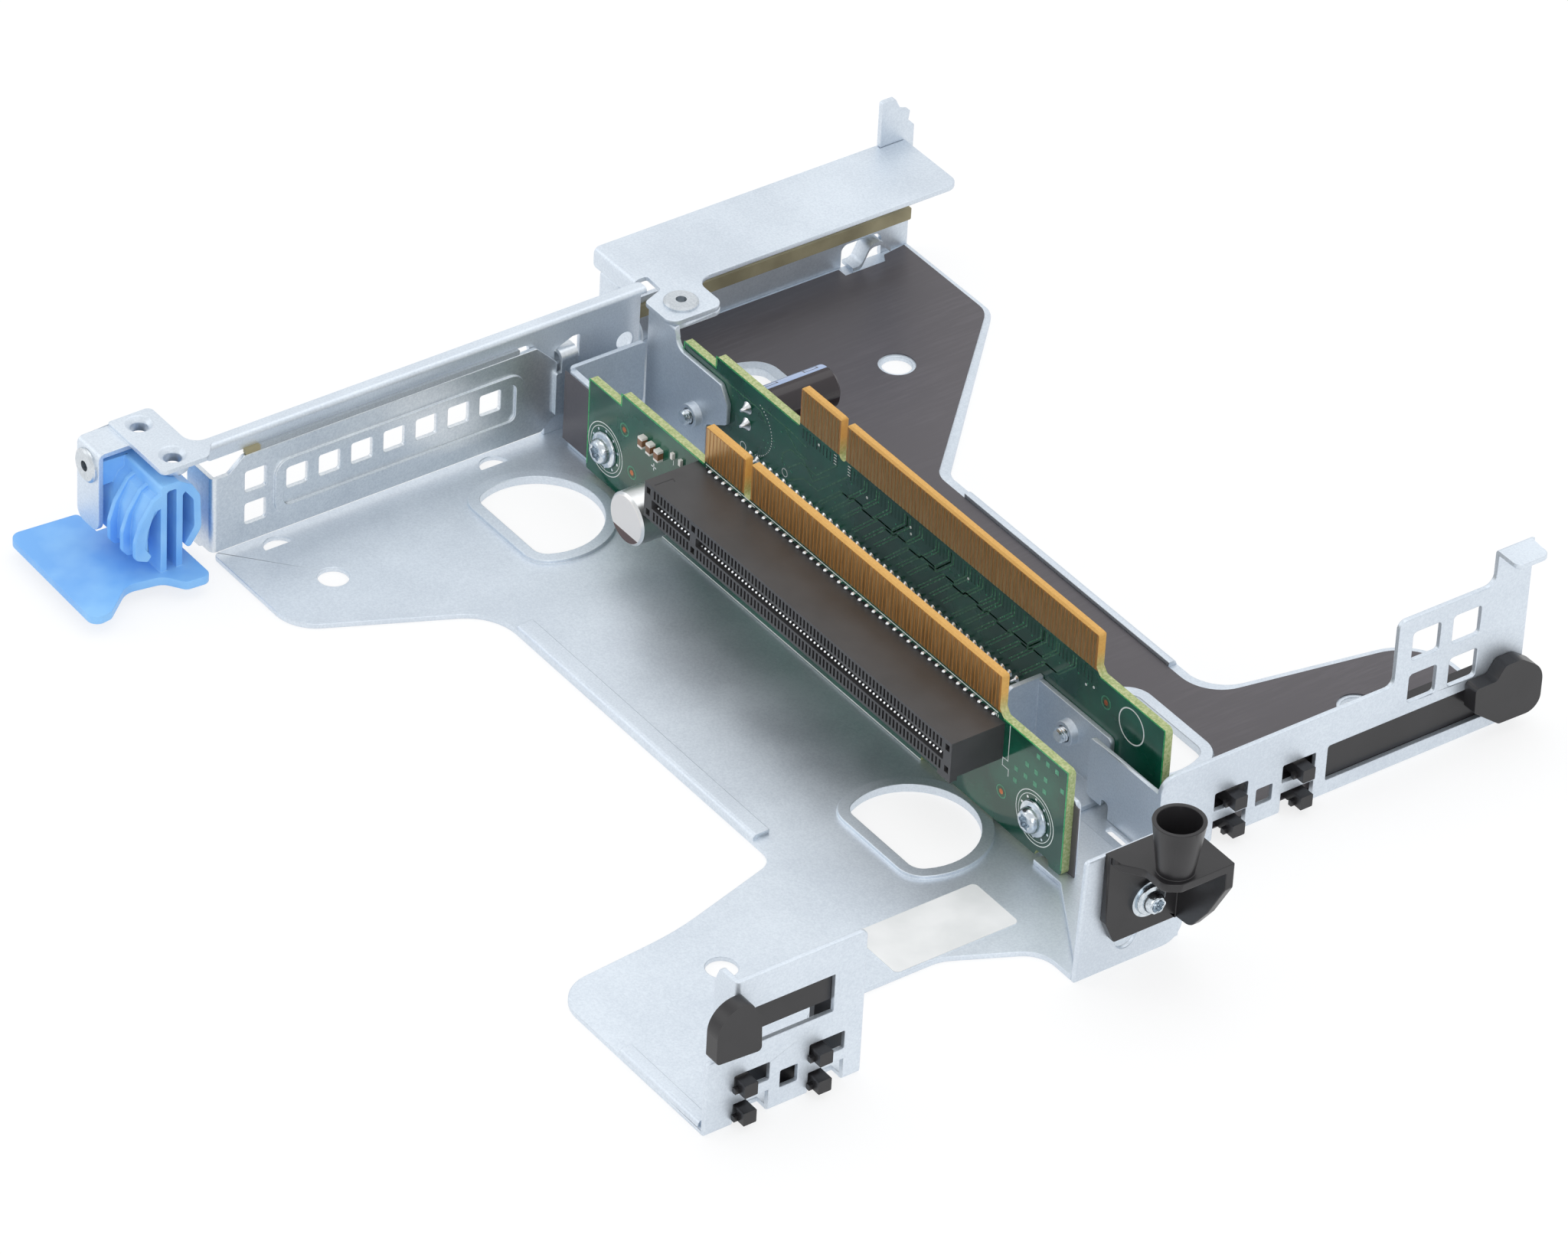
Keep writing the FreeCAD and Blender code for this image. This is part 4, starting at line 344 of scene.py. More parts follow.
def lacquered_can():
    """Bare aluminium; the end face is lacquered off-white, with a dark segment low down inside its rim."""
    finish, tree, shader, place = new_finish("drawn_aluminium_with_lacquered_end")
    x, y, z = axes_of(tree, place)
    on_end = ramp(tree, y, CAN_END_Y - 0.02 * MM, CAN_END_Y + 0.02 * MM, 1.0, 0.0)
    across = sum_of(tree, "SUBTRACT", x, SILVER_CAN_X)
    up = sum_of(tree, "SUBTRACT", z, SILVER_CAN_Z)
    low = sum_of(tree, "MULTIPLY", ramp(tree, up, SEGMENT_TOP - 0.06 * MM, SEGMENT_TOP, 1.0, 0.0), on_end)
    squares = sum_of(tree, "ADD", sum_of(tree, "MULTIPLY", across, across), sum_of(tree, "MULTIPLY", up, up))
    within = ramp(tree, sum_of(tree, "SQRT", squares), RIM_INNER, RIM_INNER + 0.06 * MM, 1.0, 0.0)
    segment = sum_of(tree, "MULTIPLY", low, within)
    grain = add(tree, "TexNoise", {"Vector": place, "Scale": 1 / (0.9 * MM), "Detail": 2.0}).outputs["Fac"]
    bare = blend_colours(tree, grain, hex_colour("#D6D8D9"), hex_colour("#EDEEEE"))
    lacquer = blend_colours(tree, on_end, bare, hex_colour("#E9E6E4"))
    tree.links.new(blend_colours(tree, segment, lacquer, hex_colour("#5C4A48")), shader.inputs["Base Color"])
    tree.links.new(ramp(tree, on_end, 0.0, 1.0, 1.0, 0.25), shader.inputs["Metallic"])
    tree.links.new(ramp(tree, on_end, 0.0, 1.0, 0.30, 0.45), shader.inputs["Roughness"])
    return finish


def ceramic_chip():
    """Tan body between tinned ends."""
    finish, tree, shader, place = new_finish("ceramic_with_tinned_ends", Roughness=0.40)
    height = axes_of(tree, place)[2]
    far = sum_of(tree, "ABSOLUTE", sum_of(tree, "SUBTRACT", height, CHIP_Z))
    end = ramp(tree, far, CHIP_HALF, CHIP_HALF + 0.05 * MM)
    tree.links.new(blend_colours(tree, end, hex_colour("#8A6446"), hex_colour("#EFECE6")),
                   shader.inputs["Base Color"])
    return finish


def end_worn_gasket():
    """Silver-grey gasket cloth; its tan core shows only at the cut end."""
    finish, tree, shader, place = new_finish("silver_gasket_cloth", Metallic=0.5, Roughness=0.5)
    weave = add(tree, "TexNoise", {"Vector": place, "Scale": 1 / (0.3 * MM), "Detail": 2.0}).outputs["Fac"]
    cloth = blend_colours(tree, weave, hex_colour("#9AA2A9"), hex_colour("#C2C9CF"))
    y = axes_of(tree, place)[1]
    core = ramp(tree, y, GASKET_CUT_Y - 0.2 * MM, GASKET_CUT_Y + 0.2 * MM, 1.0, 0.0)
    tree.links.new(blend_colours(tree, core, cloth, hex_colour("#A89F7E")), shader.inputs["Base Color"])
    return finish


FINISHES["black_sleeve"] = striped_sleeve()
FINISHES["can_aluminium"] = lacquered_can()
FINISHES["ceramic"] = ceramic_chip()
for entry in frame["record"]["subparts"]:
    solid = frame["nodes"][entry["node"]]
    solid.data.materials.clear()
    solid.data.materials.append(FINISHES[entry["material_slot"]])
for node in ("slot_connector_left", "slot_connector_right"):
    frame["nodes"][node].data.materials[0] = FINISHES["connector"]
frame["nodes"]["filler_gasket"].data.materials[0] = end_worn_gasket()

# %% [markdown]
# ## Soft corners
#
# A solid from a drawing has knife-sharp corners, and nothing real has. The tray's corners were
# rounded by the press tool and by tumbling, and a mould can't make a sharp corner at all. These thin
# rounds are what catches the light along every edge. Each of these solids gets a stand-in: a copy of
# its mesh with the doubles merged and its flat triangles joined into whole faces, and a bevel on every
# corner sharper than 35 degrees. Where tiny edges crowd round a point there is no room for a round, so
# the corner stays sharp there. A point that a bevel throws off the old surface is put back on it.
# Weighted normals then keep the flats flat in the shading. The rear wall and the two card guides keep
# their sharp corners, because some of their flats don't survive a bevel.

# %% Stand-ins with soft corners
SHARP, KEPT_SHARP = math.radians(35.0), math.radians(50.0)
STRAY_SHARE, MERGE_MM, FLAT_ANGLE = 0.45, 0.001, math.radians(0.8)
CORNER_MM = {
    "base_tray": 0.16, "left_front_panel": 0.16, "front_wall": 0.16, "right_front_panel": 0.16,
    "rear_arm": 0.14, "left_board_carrier": 0.18, "right_board_carrier": 0.18, "slot_cover_plate": 0.16,
    "slot_filler_bracket": 0.12, "release_latch": 0.18, "funnel_guide": 0.18,
}


def round_corners(work, width):
    """Bevels the sharp edges that have room for it, and puts stray points back on the old surface."""
    old_surface = BVHTree.FromBMesh(work)
    sharp = {edge for edge in work.edges if edge.calc_face_angle(0.0) > SHARP}
    crowded = set()
    for point in work.verts:
        shortest = min(edge.calc_length() for edge in point.link_edges)
        if shortest < 2 * width and len(sharp.intersection(point.link_edges)) > 2:
            crowded.add(point)
    roomy = [edge for edge in sharp if crowded.isdisjoint(edge.verts)]
    roomy.sort(key=lambda edge: edge.index)
    bmesh.ops.bevel(work, geom=roomy, offset=width, offset_type="OFFSET", segments=2, profile=0.5,
                    affect="EDGES", clamp_overlap=False, miter_outer="SHARP", miter_inner="SHARP",
                    loop_slide=True, material=-1)
    for point in work.verts:
        nearest, _, _, gap = old_surface.find_nearest(point.co)
        if gap > STRAY_SHARE * width:
            point.co = nearest


def soft_copy(node, corner_mm):
    """A merged copy of a solid's mesh, with rounds of corner_mm on its sharp edges."""
    mesh = frame["nodes"][node].data.copy()
    mesh.name = node + "_soft"
    work = bmesh.new()
    work.from_mesh(mesh)
    bmesh.ops.remove_doubles(work, verts=work.verts, dist=MERGE_MM * MM)
    bmesh.ops.dissolve_limit(work, angle_limit=FLAT_ANGLE, verts=work.verts, edges=work.edges)
    work.edges.index_update()
    round_corners(work, corner_mm * MM)
    work.to_mesh(mesh)
    work.free()
    mesh.polygons.foreach_set("use_smooth", np.ones(len(mesh.polygons), dtype=bool))
    mesh.set_sharp_from_angle(angle=KEPT_SHARP)
    piece = bpy.data.objects.new(node + "_soft", mesh)
    bpy.context.collection.objects.link(piece)
    flats = piece.modifiers.new("flat_shading_of_flats", "WEIGHTED_NORMAL")
    flats.weight, flats.keep_sharp = 90, True
    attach(piece, "root")
    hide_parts(node)
    return piece


softened = {node: soft_copy(node, corner) for node, corner in CORNER_MM.items()}
print("softened:", len(softened), "faces:", sum(len(p.data.polygons) for p in softened.values()))

# %% [markdown]
# ## Pan head screws
#
# Four screws hold the boards and one holds the black guide. Each is turned from a profile: a threaded
# shank, a wide pressed washer face and a domed head with a six-lobe recess. A profile carried round
# an axis is a function of height and angle. The thread comes from letting the radius follow the
# height minus the turns, and the recess from adding a wave of six lobes to the radius.

# %% Screws
THREAD_PITCH, THREAD_DEPTH, THREAD_ROWS = 0.5, 0.22, 48
SHANK_D, HEAD_HEIGHT, LOBES, ROUND_STEPS = 2.8, 2.38, 6, 48
FRONT_LEFT, BACK_LEFT, FRONT_RIGHT, BACK_RIGHT = 0.0, 1.57, 20.7, 22.27
SCREW_Z, LEFT_SCREWS_X, RIGHT_SCREWS_X = 9.2, (-29.2, 96.4), (-29.8, 80.3)
GUIDE_SCREW = (128.7, -1.0, 13.9)


def head_profile(head_d, head_height):
    """Rows of height over the washer face's underside, radius and lobe depth, in millimetres."""
    half, dome = head_d / 2, head_d * 0.36
    angle = np.linspace(0.0, 0.5 * np.pi, 7)
    cap = np.stack([0.75 + (head_height - 0.78) * np.sin(angle), dome * (0.62 + 0.38 * np.cos(angle)),
                    np.zeros(7)], axis=1)
    rim = [[0.0, half - 0.12, 0.0], [0.12, half, 0.0], [0.42, half, 0.0], [0.58, half - 0.12, 0.0],
           [0.66, dome + 0.25, 0.0]]
    recess = [[head_height - 0.02, 1.50, 0.10], [head_height - 0.14, 1.28, 0.17],
              [head_height - 1.30, 1.16, 0.17], [head_height - 1.42, 0.55, 0.0],
              [head_height - 1.52, 0.02, 0.0]]
    return np.vstack([rim, cap, recess])


def screw_surface(length, head_d):
    """x = r cos a, y = r sin a, with r of the profile, less the thread and plus lobe times cos 6a."""
    half = SHANK_D / 2
    tip = [[-length, 0.02, 0.0], [-length, half - 0.35, 0.0], [-length + 0.3, half - 0.05, 0.0]]
    turns = np.linspace(-length + 0.35, -0.4, THREAD_ROWS)
    shank = np.stack([turns, np.full(THREAD_ROWS, half), np.zeros(THREAD_ROWS)], axis=1)
    neck = [[-0.3, half - 0.1, 0.0], [-0.02, half, 0.0]]
    rows = np.vstack([tip, shank, neck, head_profile(head_d, HEAD_HEIGHT)])
    angle = np.linspace(0.0, 2 * np.pi, ROUND_STEPS, endpoint=False)
    height, radius, lobe = (rows[:, i:i + 1] for i in range(3))
    threaded = np.zeros((len(rows), 1))
    threaded[len(tip):len(tip) + THREAD_ROWS] = THREAD_DEPTH
    wave = np.abs((height / THREAD_PITCH - angle / (2 * np.pi)) % 1.0 - 0.5) * 2
    r = radius - threaded * wave + lobe * np.cos(LOBES * angle)
    return np.stack([r * np.cos(angle), r * np.sin(angle), height + 0 * angle], axis=2)


def closed_tube(grid):
    """Points and faces of a grid that closes on itself along its second axis and is capped at both ends."""
    rows, columns = grid.shape[:2]
    index = np.arange(rows * columns).reshape(rows, columns)
    after = np.roll(index, -1, axis=1)
    faces = np.stack([index[:-1], after[:-1], after[1:], index[1:]], axis=2).reshape(-1, 4).tolist()
    faces += [index[0, ::-1].tolist(), index[-1].tolist()]
    return grid.reshape(-1, 3), faces


def new_piece(name, parts, finish, smooth_below=None):
    """One object from several (points, faces) shells in millimetres, with its faces turned outwards."""
    points, faces, start = [], [], 0
    for shell_points, shell_faces in parts:
        points.append(np.asarray(shell_points))
        faces += [[v + start for v in face] for face in shell_faces]
        start += len(shell_points)
    mesh = bpy.data.meshes.new(name)
    mesh.from_pydata((np.vstack(points) * MM).tolist(), [], faces)
    work = bmesh.new()
    work.from_mesh(mesh)
    bmesh.ops.recalc_face_normals(work, faces=work.faces)
    work.to_mesh(mesh)
    work.free()
    if smooth_below:
        mesh.polygons.foreach_set("use_smooth", np.ones(len(mesh.polygons), dtype=bool))
        mesh.set_sharp_from_angle(angle=math.radians(smooth_below))
    mesh.materials.append(finish)
    piece = bpy.data.objects.new(name, mesh)
    bpy.context.collection.objects.link(piece)
    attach(piece, "root")
    return piece


TO_MINUS_Y = np.array([[1, 0, 0], [0, 0, -1], [0, 1, 0]]).T
TO_PLUS_Y = np.array([[1, 0, 0], [0, 0, 1], [0, -1, 0]]).T
TO_PLUS_X = np.array([[0, 1, 0], [0, 0, 1], [1, 0, 0]])
screw_places = [((x, FRONT_LEFT, SCREW_Z), TO_MINUS_Y) for x in LEFT_SCREWS_X]
screw_places += [((x, BACK_RIGHT, SCREW_Z), TO_PLUS_Y) for x in RIGHT_SCREWS_X]
board_screw = screw_surface(length=5.5, head_d=6.8)
shells = []
for centre, turn in screw_places:
    points, faces = closed_tube(board_screw)
    shells.append((points @ turn + np.array(centre), faces))
screws = new_piece("board_screws_with_recess", shells, FINISHES["screw_steel"], 40)
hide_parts("board_screws")
points, faces = closed_tube(screw_surface(length=5.1, head_d=5.6))
guide_screw = new_piece("guide_screw_with_recess", [(points @ TO_PLUS_X + np.array(GUIDE_SCREW), faces)],
                        FINISHES["screw_steel"], 40)
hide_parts("guide_screw")
print("screws:", len(shells) + 1)

# %% [markdown]
# ## Flat marks on the boards
#
# A printed line, a trace and a copper pad are all thin flat shapes on a board's face. Four are
# enough: a ribbon carried along a path, a ring and a spot worked out from radius and angle, and a
# rectangle. They lie in the board's plane, X across and Z up, and stand off its face by the layer's
# thickness, which is drawn at a few hundredths of a millimetre so that it shows.

# %% Ribbons, rings and spots
INK_THICK, COAT_THICK, THIN_COAT = 0.03, 0.02, 0.015


def ribbon(path, width):
    """A band: each point of the path moves half the width along its mitred normal, to both sides."""
    path = np.asarray(path, dtype=float)
    runs = np.diff(path, axis=0)
    runs /= np.linalg.norm(runs, axis=1, keepdims=True)
    before, after = np.vstack([runs[:1], runs]), np.vstack([runs, runs[-1:]])
    middle = before + after
    middle /= np.linalg.norm(middle, axis=1, keepdims=True)
    reach = width / 2 / np.sum(middle * after, axis=1, keepdims=True)
    normal = np.stack([-middle[:, 1], middle[:, 0]], axis=1)
    count = len(path)
    index = np.arange(count - 1)
    faces = np.stack([index, index + 1, index + 1 + count, index + count], axis=1)
    return np.vstack([path + normal * reach, path - normal * reach]), faces.tolist()


def ring(x, z, inner, outer, steps=40):
    """A flat ring: radius from inner to outer, angle once round."""
    angle = np.linspace(0, 2 * np.pi, steps, endpoint=False)
    circle = np.stack([np.cos(angle), np.sin(angle)], axis=1)
    index = np.arange(steps)
    after = np.roll(index, -1)
    faces = np.stack([index, after, after + steps, index + steps], axis=1)
    return np.vstack([circle * inner, circle * outer]) + (x, z), faces.tolist()


def disc(x, z, radius, steps=16):
    """A round spot: one face whose corners go once round."""
    angle = np.linspace(0, 2 * np.pi, steps, endpoint=False)
    return np.stack([np.cos(angle), np.sin(angle)], axis=1) * radius + (x, z), [list(range(steps))]


def slab(x, z, width, height):
    """A rectangle round a centre."""
    corner = np.array([[-1, -1], [1, -1], [1, 1], [-1, 1]]) * (width / 2, height / 2) + (x, z)
    return corner, [[0, 1, 2, 3]]


def on_board(flat, face_y, outward, thick):
    """Closes a flat shape into a thin plate that stands off a board's face by thick."""
    points, faces = flat
    count = len(points)
    layers = [np.stack([points[:, 0], np.full(count, y), points[:, 1]], axis=1)
              for y in (face_y, face_y + outward * thick)]
    edges = {}
    for face in faces:
        for a, b in zip(face, face[1:] + face[:1]):
            edges[(a, b)] = edges.pop((b, a), None) is None
    walls = [[a, b, b + count, a + count] for (a, b), outer in edges.items()
             if outer and (b, a) not in edges]
    lids = [list(reversed(face)) for face in faces] + [[v + count for v in face] for face in faces]
    return np.vstack(layers), lids + walls


def marks(name, shapes, face_y, outward, thick, finish, slot="green_board"):
    """One object of flat shapes on one face of a board."""
    return new_piece(name, [on_board(shape, face_y, outward, thick) for shape in shapes], finish)


def plain(name, dark, light, rough, **sockets):
    """A thin coat: two close tones in a grain of 0.6 mm."""
    finish, tree, shader, place = new_finish(name, **sockets)
    grain = add(tree, "TexNoise", {"Vector": place, "Scale": 1 / (0.6 * MM), "Detail": 2.0}).outputs["Fac"]
    colour = blend_colours(tree, ramp(tree, grain, 0.35, 0.65), hex_colour(dark), hex_colour(light))
    tree.links.new(colour, shader.inputs["Base Color"])
    tree.links.new(ramp(tree, grain, 0.3, 0.7, rough - 0.05, rough + 0.05), shader.inputs["Roughness"])
    return finish


white_ink = plain("white_board_print", "#DDE3E0", "#F2F5F3", 0.55)
trace_green = plain("mask_over_copper_trace", "#33664B", "#44795A", 0.25)
deep_green = plain("mask_between_copper", "#063325", "#08402E", 0.22)
pad_green = plain("mask_over_copper_pad", "#3F8C6A", "#4F9C78", 0.25)
copper = plain("bare_copper_spot", "#B4552E", "#D08050", 0.35, Metallic=0.6)
ring_green = plain("mask_round_the_spot", "#274B33", "#31583C", 0.3)
rim_green = plain("thin_mask_at_the_cut_edge", "#2E9A55", "#3FB068", 0.3)
print("marks ready")

# %% [markdown]
# ## Printed rings, copper spots and pads
#
# Both boards carry a double printed ring round each screw, tinned pads under its rim, copper spots
# for the machine that places the parts, and a row of soldered feet above the connector with a thin
# printed line over it. Under the left connector the board's edge reaches down nearly to the floor,
# with a painted highlight along it: a white strip where light catches its lower edge.

# %% Print and pads on the outer faces
RIGHT_SHIFT, LINE_Z, RIGHT_LINE_Z = -16.1, 23.85, 11.55
PRINTED_RINGS, PAD_CIRCLE, PAD_COUNT = ((5.15, 0.17), (4.45, 0.13)), 3.85, 10
LEFT_SPOTS, RIGHT_SPOTS = [(-23.8, 16.6), (-21.1, 9.0), (87.1, 8.8)], [(87.8, 19.5)]
COPPER_RADIUS, SPOT_HOLE, SPOT_RING, SPOT_RIM, SQUARE_SIDE = 0.52, 0.5, 1.08, 1.3, 0.95
SQUARE_PADS = [(93.4, 18.5), (95.9, 18.4), (98.5, 18.5), (90.6, 15.8), (93.2, 15.9), (95.8, 15.9),
               (98.4, 16.0), (90.5, 13.3), (96.2, 21.9), (98.8, 21.9), (101.3, 21.9), (103.0, 19.0)]
TICK_X, TICK_LENGTH, TICK_WIDTH = (10.55, 14.65), 0.75, 0.16
LIP_X, LIP_Z, LIP_LENGTH, LIP_HEIGHT, LIP_THICK = 26.75, 1.575, 76.5, 0.95, 1.5


def spot_marks(name, spots, face_y, outward):
    """The copper spots: a disc in a darker ring with a paler rim."""
    rims = [ring(x, z, SPOT_RING, SPOT_RIM) for x, z in spots]
    rings = [ring(x, z, SPOT_HOLE, SPOT_RING) for x, z in spots]
    discs = [disc(x, z, COPPER_RADIUS) for x, z in spots]
    marks(name + "_rims", rims, face_y, outward, COAT_THICK, pad_green)
    marks(name + "_rings", rings, face_y, outward, THIN_COAT, ring_green)
    marks(name + "_copper", discs, face_y, outward, INK_THICK, copper)


def screw_rings(name, centres, face_y, outward):
    """Two printed rings and ten tinned pads round each screw."""
    rings = [ring(x, SCREW_Z, r - w / 2, r + w / 2, 72) for x in centres for r, w in PRINTED_RINGS]
    marks(name + "_print", rings, face_y, outward, INK_THICK, white_ink)
    turn = np.linspace(0, 2 * np.pi, PAD_COUNT, endpoint=False) + 0.3
    pads = [disc(x + PAD_CIRCLE * math.cos(a), SCREW_Z + PAD_CIRCLE * math.sin(a), 0.26)
            for x in centres for a in turn]
    marks(name + "_pads", pads, face_y, outward, INK_THICK, FINISHES["solder"], "solder")


screw_rings("left_board_screw_rings", LEFT_SCREWS_X, FRONT_LEFT, -1)
screw_rings("right_board_screw_rings", RIGHT_SCREWS_X, BACK_RIGHT, 1)
spot_marks("left_board_spots", LEFT_SPOTS, FRONT_LEFT, -1)
spot_marks("right_board_spots", RIGHT_SPOTS, FRONT_RIGHT, -1)
squares = [slab(x, z, SQUARE_SIDE, SQUARE_SIDE) for x, z in SQUARE_PADS]
marks("left_board_pads", squares, FRONT_LEFT, -1, COAT_THICK, pad_green)
line = [[0.4, LINE_Z], [84.8, LINE_Z]]
box_line = [[88.3, 23.3], [88.3, 15.9], [86.9, 15.9], [86.9, 14.3], [88.6, 14.3], [88.6, 12.9]]
ticks = [slab(x, z, TICK_LENGTH, TICK_WIDTH) for x in TICK_X for z in (21.6, 22.2, 22.8, 23.4)]
ticks += [slab(x, z, 0.16, 0.7) for x, z in ((0.6, 23.0), (1.1, 23.0), (84.4, 23.1), (84.9, 23.1))]
cross = [slab(-14.7, 14.1, 1.5, 0.25), slab(-14.7, 14.1, 0.25, 1.5)]
chip_lines = [slab(-9.0, z, 0.15, 1.0) for z in (18.4, 19.8)] + [slab(-18.9, 16.4, 0.6, 0.15)]
marks("left_board_print", [ribbon(line, 0.16), ribbon(box_line, 0.14)] + ticks + cross + chip_lines,
      FRONT_LEFT, -1, INK_THICK, white_ink)
lip, lip_highlight_strip = slab(LIP_X, LIP_Z, LIP_LENGTH, LIP_HEIGHT), slab(LIP_X, 1.24, LIP_LENGTH, 0.26)
marks("left_board_lip", [lip], FRONT_LEFT + LIP_THICK, -1, LIP_THICK, FINISHES["green_board"])
# Painted highlight: a white strip along the lip's lower edge where light catches it, drawn in the white print
# finish.
marks("left_board_lip_painted_highlight", [lip_highlight_strip], FRONT_LEFT, -1, COAT_THICK, white_ink)
outer_line = [[x + RIGHT_SHIFT, RIGHT_LINE_Z] for x in (0.4, 84.8)]
marks("right_board_print", [ribbon(outer_line, 0.16)], BACK_RIGHT, 1, INK_THICK, white_ink)
left_rim = [[-34.65, 3.0], [-34.65, 21.05], [-25.0, 21.05], [-25.0, 23.5], [-0.3, 23.5]]
right_rim = [[86.4, 23.55], [104.2, 23.55], [104.2, 3.2]]
for side, shift, face_y in (("left", 0.0, FRONT_LEFT), ("right", -0.6, FRONT_RIGHT)):
    rims = [ribbon(np.array(rim) + (shift, 0.0), 0.3) for rim in (left_rim, right_rim)]
    marks(f"{side}_board_rim", rims, face_y, -1, 0.012, rim_green)
print("print and pads done")

# %% [markdown]
# ## Traces on the inner face
#
# Between the boards the copper under the mask shows as dull lighter lines. Each pair leaves a
# connector lead, climbs at 45 degrees, jogs along the board and climbs again to its contact. Below
# every contact there is a short stripe, and small open vias are scattered over the field.

# %% Traces, stripes and vias
PAIR_START, PAIR_PITCH, PAIR_COUNT, PAIR_GAP = 5.9, 3.25, 19, 0.8
CLIMB_TOP, TRACE_TOP, FIELD_END, TRACE_WIDTH, STRIPE_WIDTH = 21.6, 23.6, 84.0, 0.28, 0.34
LOOSE_VIAS, VIA_RADIUS, CAN_CLEAR, SCREW_CLEAR = 30, 0.17, 4.4, 6.0
LOOSE_TRACES = [
    [[-5.1, 13.0], [-5.1, 15.0], [-2.9, 17.2], [1.0, 17.2], [3.9, 14.4], [8.6, 18.6]],
    [[-4.8, 20.6], [-1.0, 17.9], [2.0, 17.9]],
    [[-12.0, 20.9], [-3.2, 20.9], [1.8, 20.3]],
    [[-3.4, 12.9], [0.4, 16.3], [4.9, 16.3], [10.6, 21.9]],
    [[-3.2, 10.4], [1.2, 13.4], [5.6, 13.4], [13.8, 21.4]],
    [[-27.0, 20.0], [-12.0, 20.0], [-10.2, 18.2]],
]
paths = []
for number in range(PAIR_COUNT):
    low, jog, wide = 11.2 + 0.4 * (number % 3), 17.2 + 0.7 * (number % 2), 2.2 + 0.7 * (number % 4)
    for gap in (0.0, PAIR_GAP):
        start = PAIR_START + PAIR_PITCH * number + gap
        end = start + CLIMB_TOP - low + wide
        path = [[start, low], [start + jog - low, jog], [start + jog - low + wide, jog], [end, CLIMB_TOP],
                [end, TRACE_TOP]]
        if end < FIELD_END:
            paths.append(path)
paths += LOOSE_TRACES
traces = [ribbon(path, TRACE_WIDTH) for path in paths]
marks("right_board_traces", traces, FRONT_RIGHT, -1, COAT_THICK, trace_green)
stripes = [slab(x, 22.3, STRIPE_WIDTH, 2.6) for x in np.arange(14.6, FIELD_END, 1.0)]
stripes += [slab(x, 22.6, STRIPE_WIDTH, 2.0) for x in np.arange(0.5, 10.6, 1.0)]
marks("right_board_stripes", stripes, FRONT_RIGHT, -1, THIN_COAT, deep_green)
left_stripes = [slab(x, 24.0, STRIPE_WIDTH, 0.5) for x in np.arange(15.0, 84.6, 2.0)]
marks("left_board_stripes", left_stripes, FRONT_LEFT, -1, THIN_COAT, deep_green)
spread = np.random.default_rng(11)
row_x = np.arange(15.0, FIELD_END, 2.6)
via_x = np.concatenate([row_x, spread.uniform(-33.0, 13.0, LOOSE_VIAS)])
via_z = np.concatenate([spread.uniform(19.6, 21.6, len(row_x)), spread.uniform(12.6, 19.6, LOOSE_VIAS)])
keep = np.hypot(via_x + 16.0, via_z - 16.4) > CAN_CLEAR
keep &= np.hypot(via_x - RIGHT_SCREWS_X[0], via_z - SCREW_Z) > SCREW_CLEAR
vias = [disc(x, z, VIA_RADIUS, 8) for x, z in zip(via_x[keep], via_z[keep])]
marks("right_board_vias", vias, FRONT_RIGHT, -1, INK_THICK, pad_green)
arc = np.linspace(-1.15, 1.05, 24)
dots = [disc(-16.0 + 7.6 * math.cos(a), 15.6 + 6.2 * math.sin(a), 0.13, 6) for a in arc]
test_points = ((5.1, 22.9), (19.5, 20.4), (32.1, 21.8), (32.3, 20.5), (48.8, 21.2), (82.2, 19.8),
               (84.3, 20.5))
dots += [disc(x, z, 0.27, 10) for x, z in test_points]
rings = [ring(-16.6, 9.7, 0.75, 0.92, 24), ring(-4.2, 11.4, 0.7, 0.86, 24), ring(67.4, 10.3, 0.7, 0.86, 24),
         ring(94.9, 19.0, 3.25, 3.5, 64)]
notch_ticks = [slab(x - 0.6, z, TICK_LENGTH, TICK_WIDTH) for x in TICK_X for z in (21.8, 22.4, 23.0, 23.6)]
marks("right_board_inner_print", dots + rings + notch_ticks, FRONT_RIGHT, -1, INK_THICK, white_ink)
print("traces:", len(traces), "stripes:", len(stripes), "vias:", len(vias))

# %% [markdown]
# ## Solder
#
# A through-hole lead wets into a small shiny cone: a profile that falls in a hollow curve from the
# pad's edge to the lead's end, turned round the lead. There are two staggered rows on the face behind
# each connector. The surface-mounted feet above it are little domes on dark bases.

# %% Solder cones and feet
LEFT_BASE, RIGHT_BASE = 15.6, 3.3
FIRST_LEAD, LEADS_A_ROW, LEAD_PITCH, STAGGER, ROW_HEIGHTS = 0.8, 41, 2.0, 1.0, (1.65, 5.95)
CAN_LEADS = [(-15.9, 18.2), (-15.9, 14.8)]
CAN_LEAD_HEIGHTS, CAN_LEAD_RADII = (0.0, 0.1, 0.5, 1.0, 1.5), (1.25, 1.15, 0.7, 0.4, 0.25)
CONE_HEIGHTS, CONE_RADII = (0.0, 0.06, 0.25, 0.6, 1.2, 1.38), (0.72, 0.68, 0.44, 0.3, 0.24, 0.12)
FOOT_HEIGHTS, FOOT_RADII = (0.0, 0.35, 0.6, 0.72), (0.42, 0.4, 0.28, 0.1)
FIRST_FOOT, FOOT_COUNT, FOOT_Z, RIGHT_FOOT_Z = 2.0, 42, 23.15, 10.85
FOOT_BASE_LENGTH, FOOT_BASE_HEIGHT, FOOT_BASE_THICK = 0.8, 0.55, 0.3


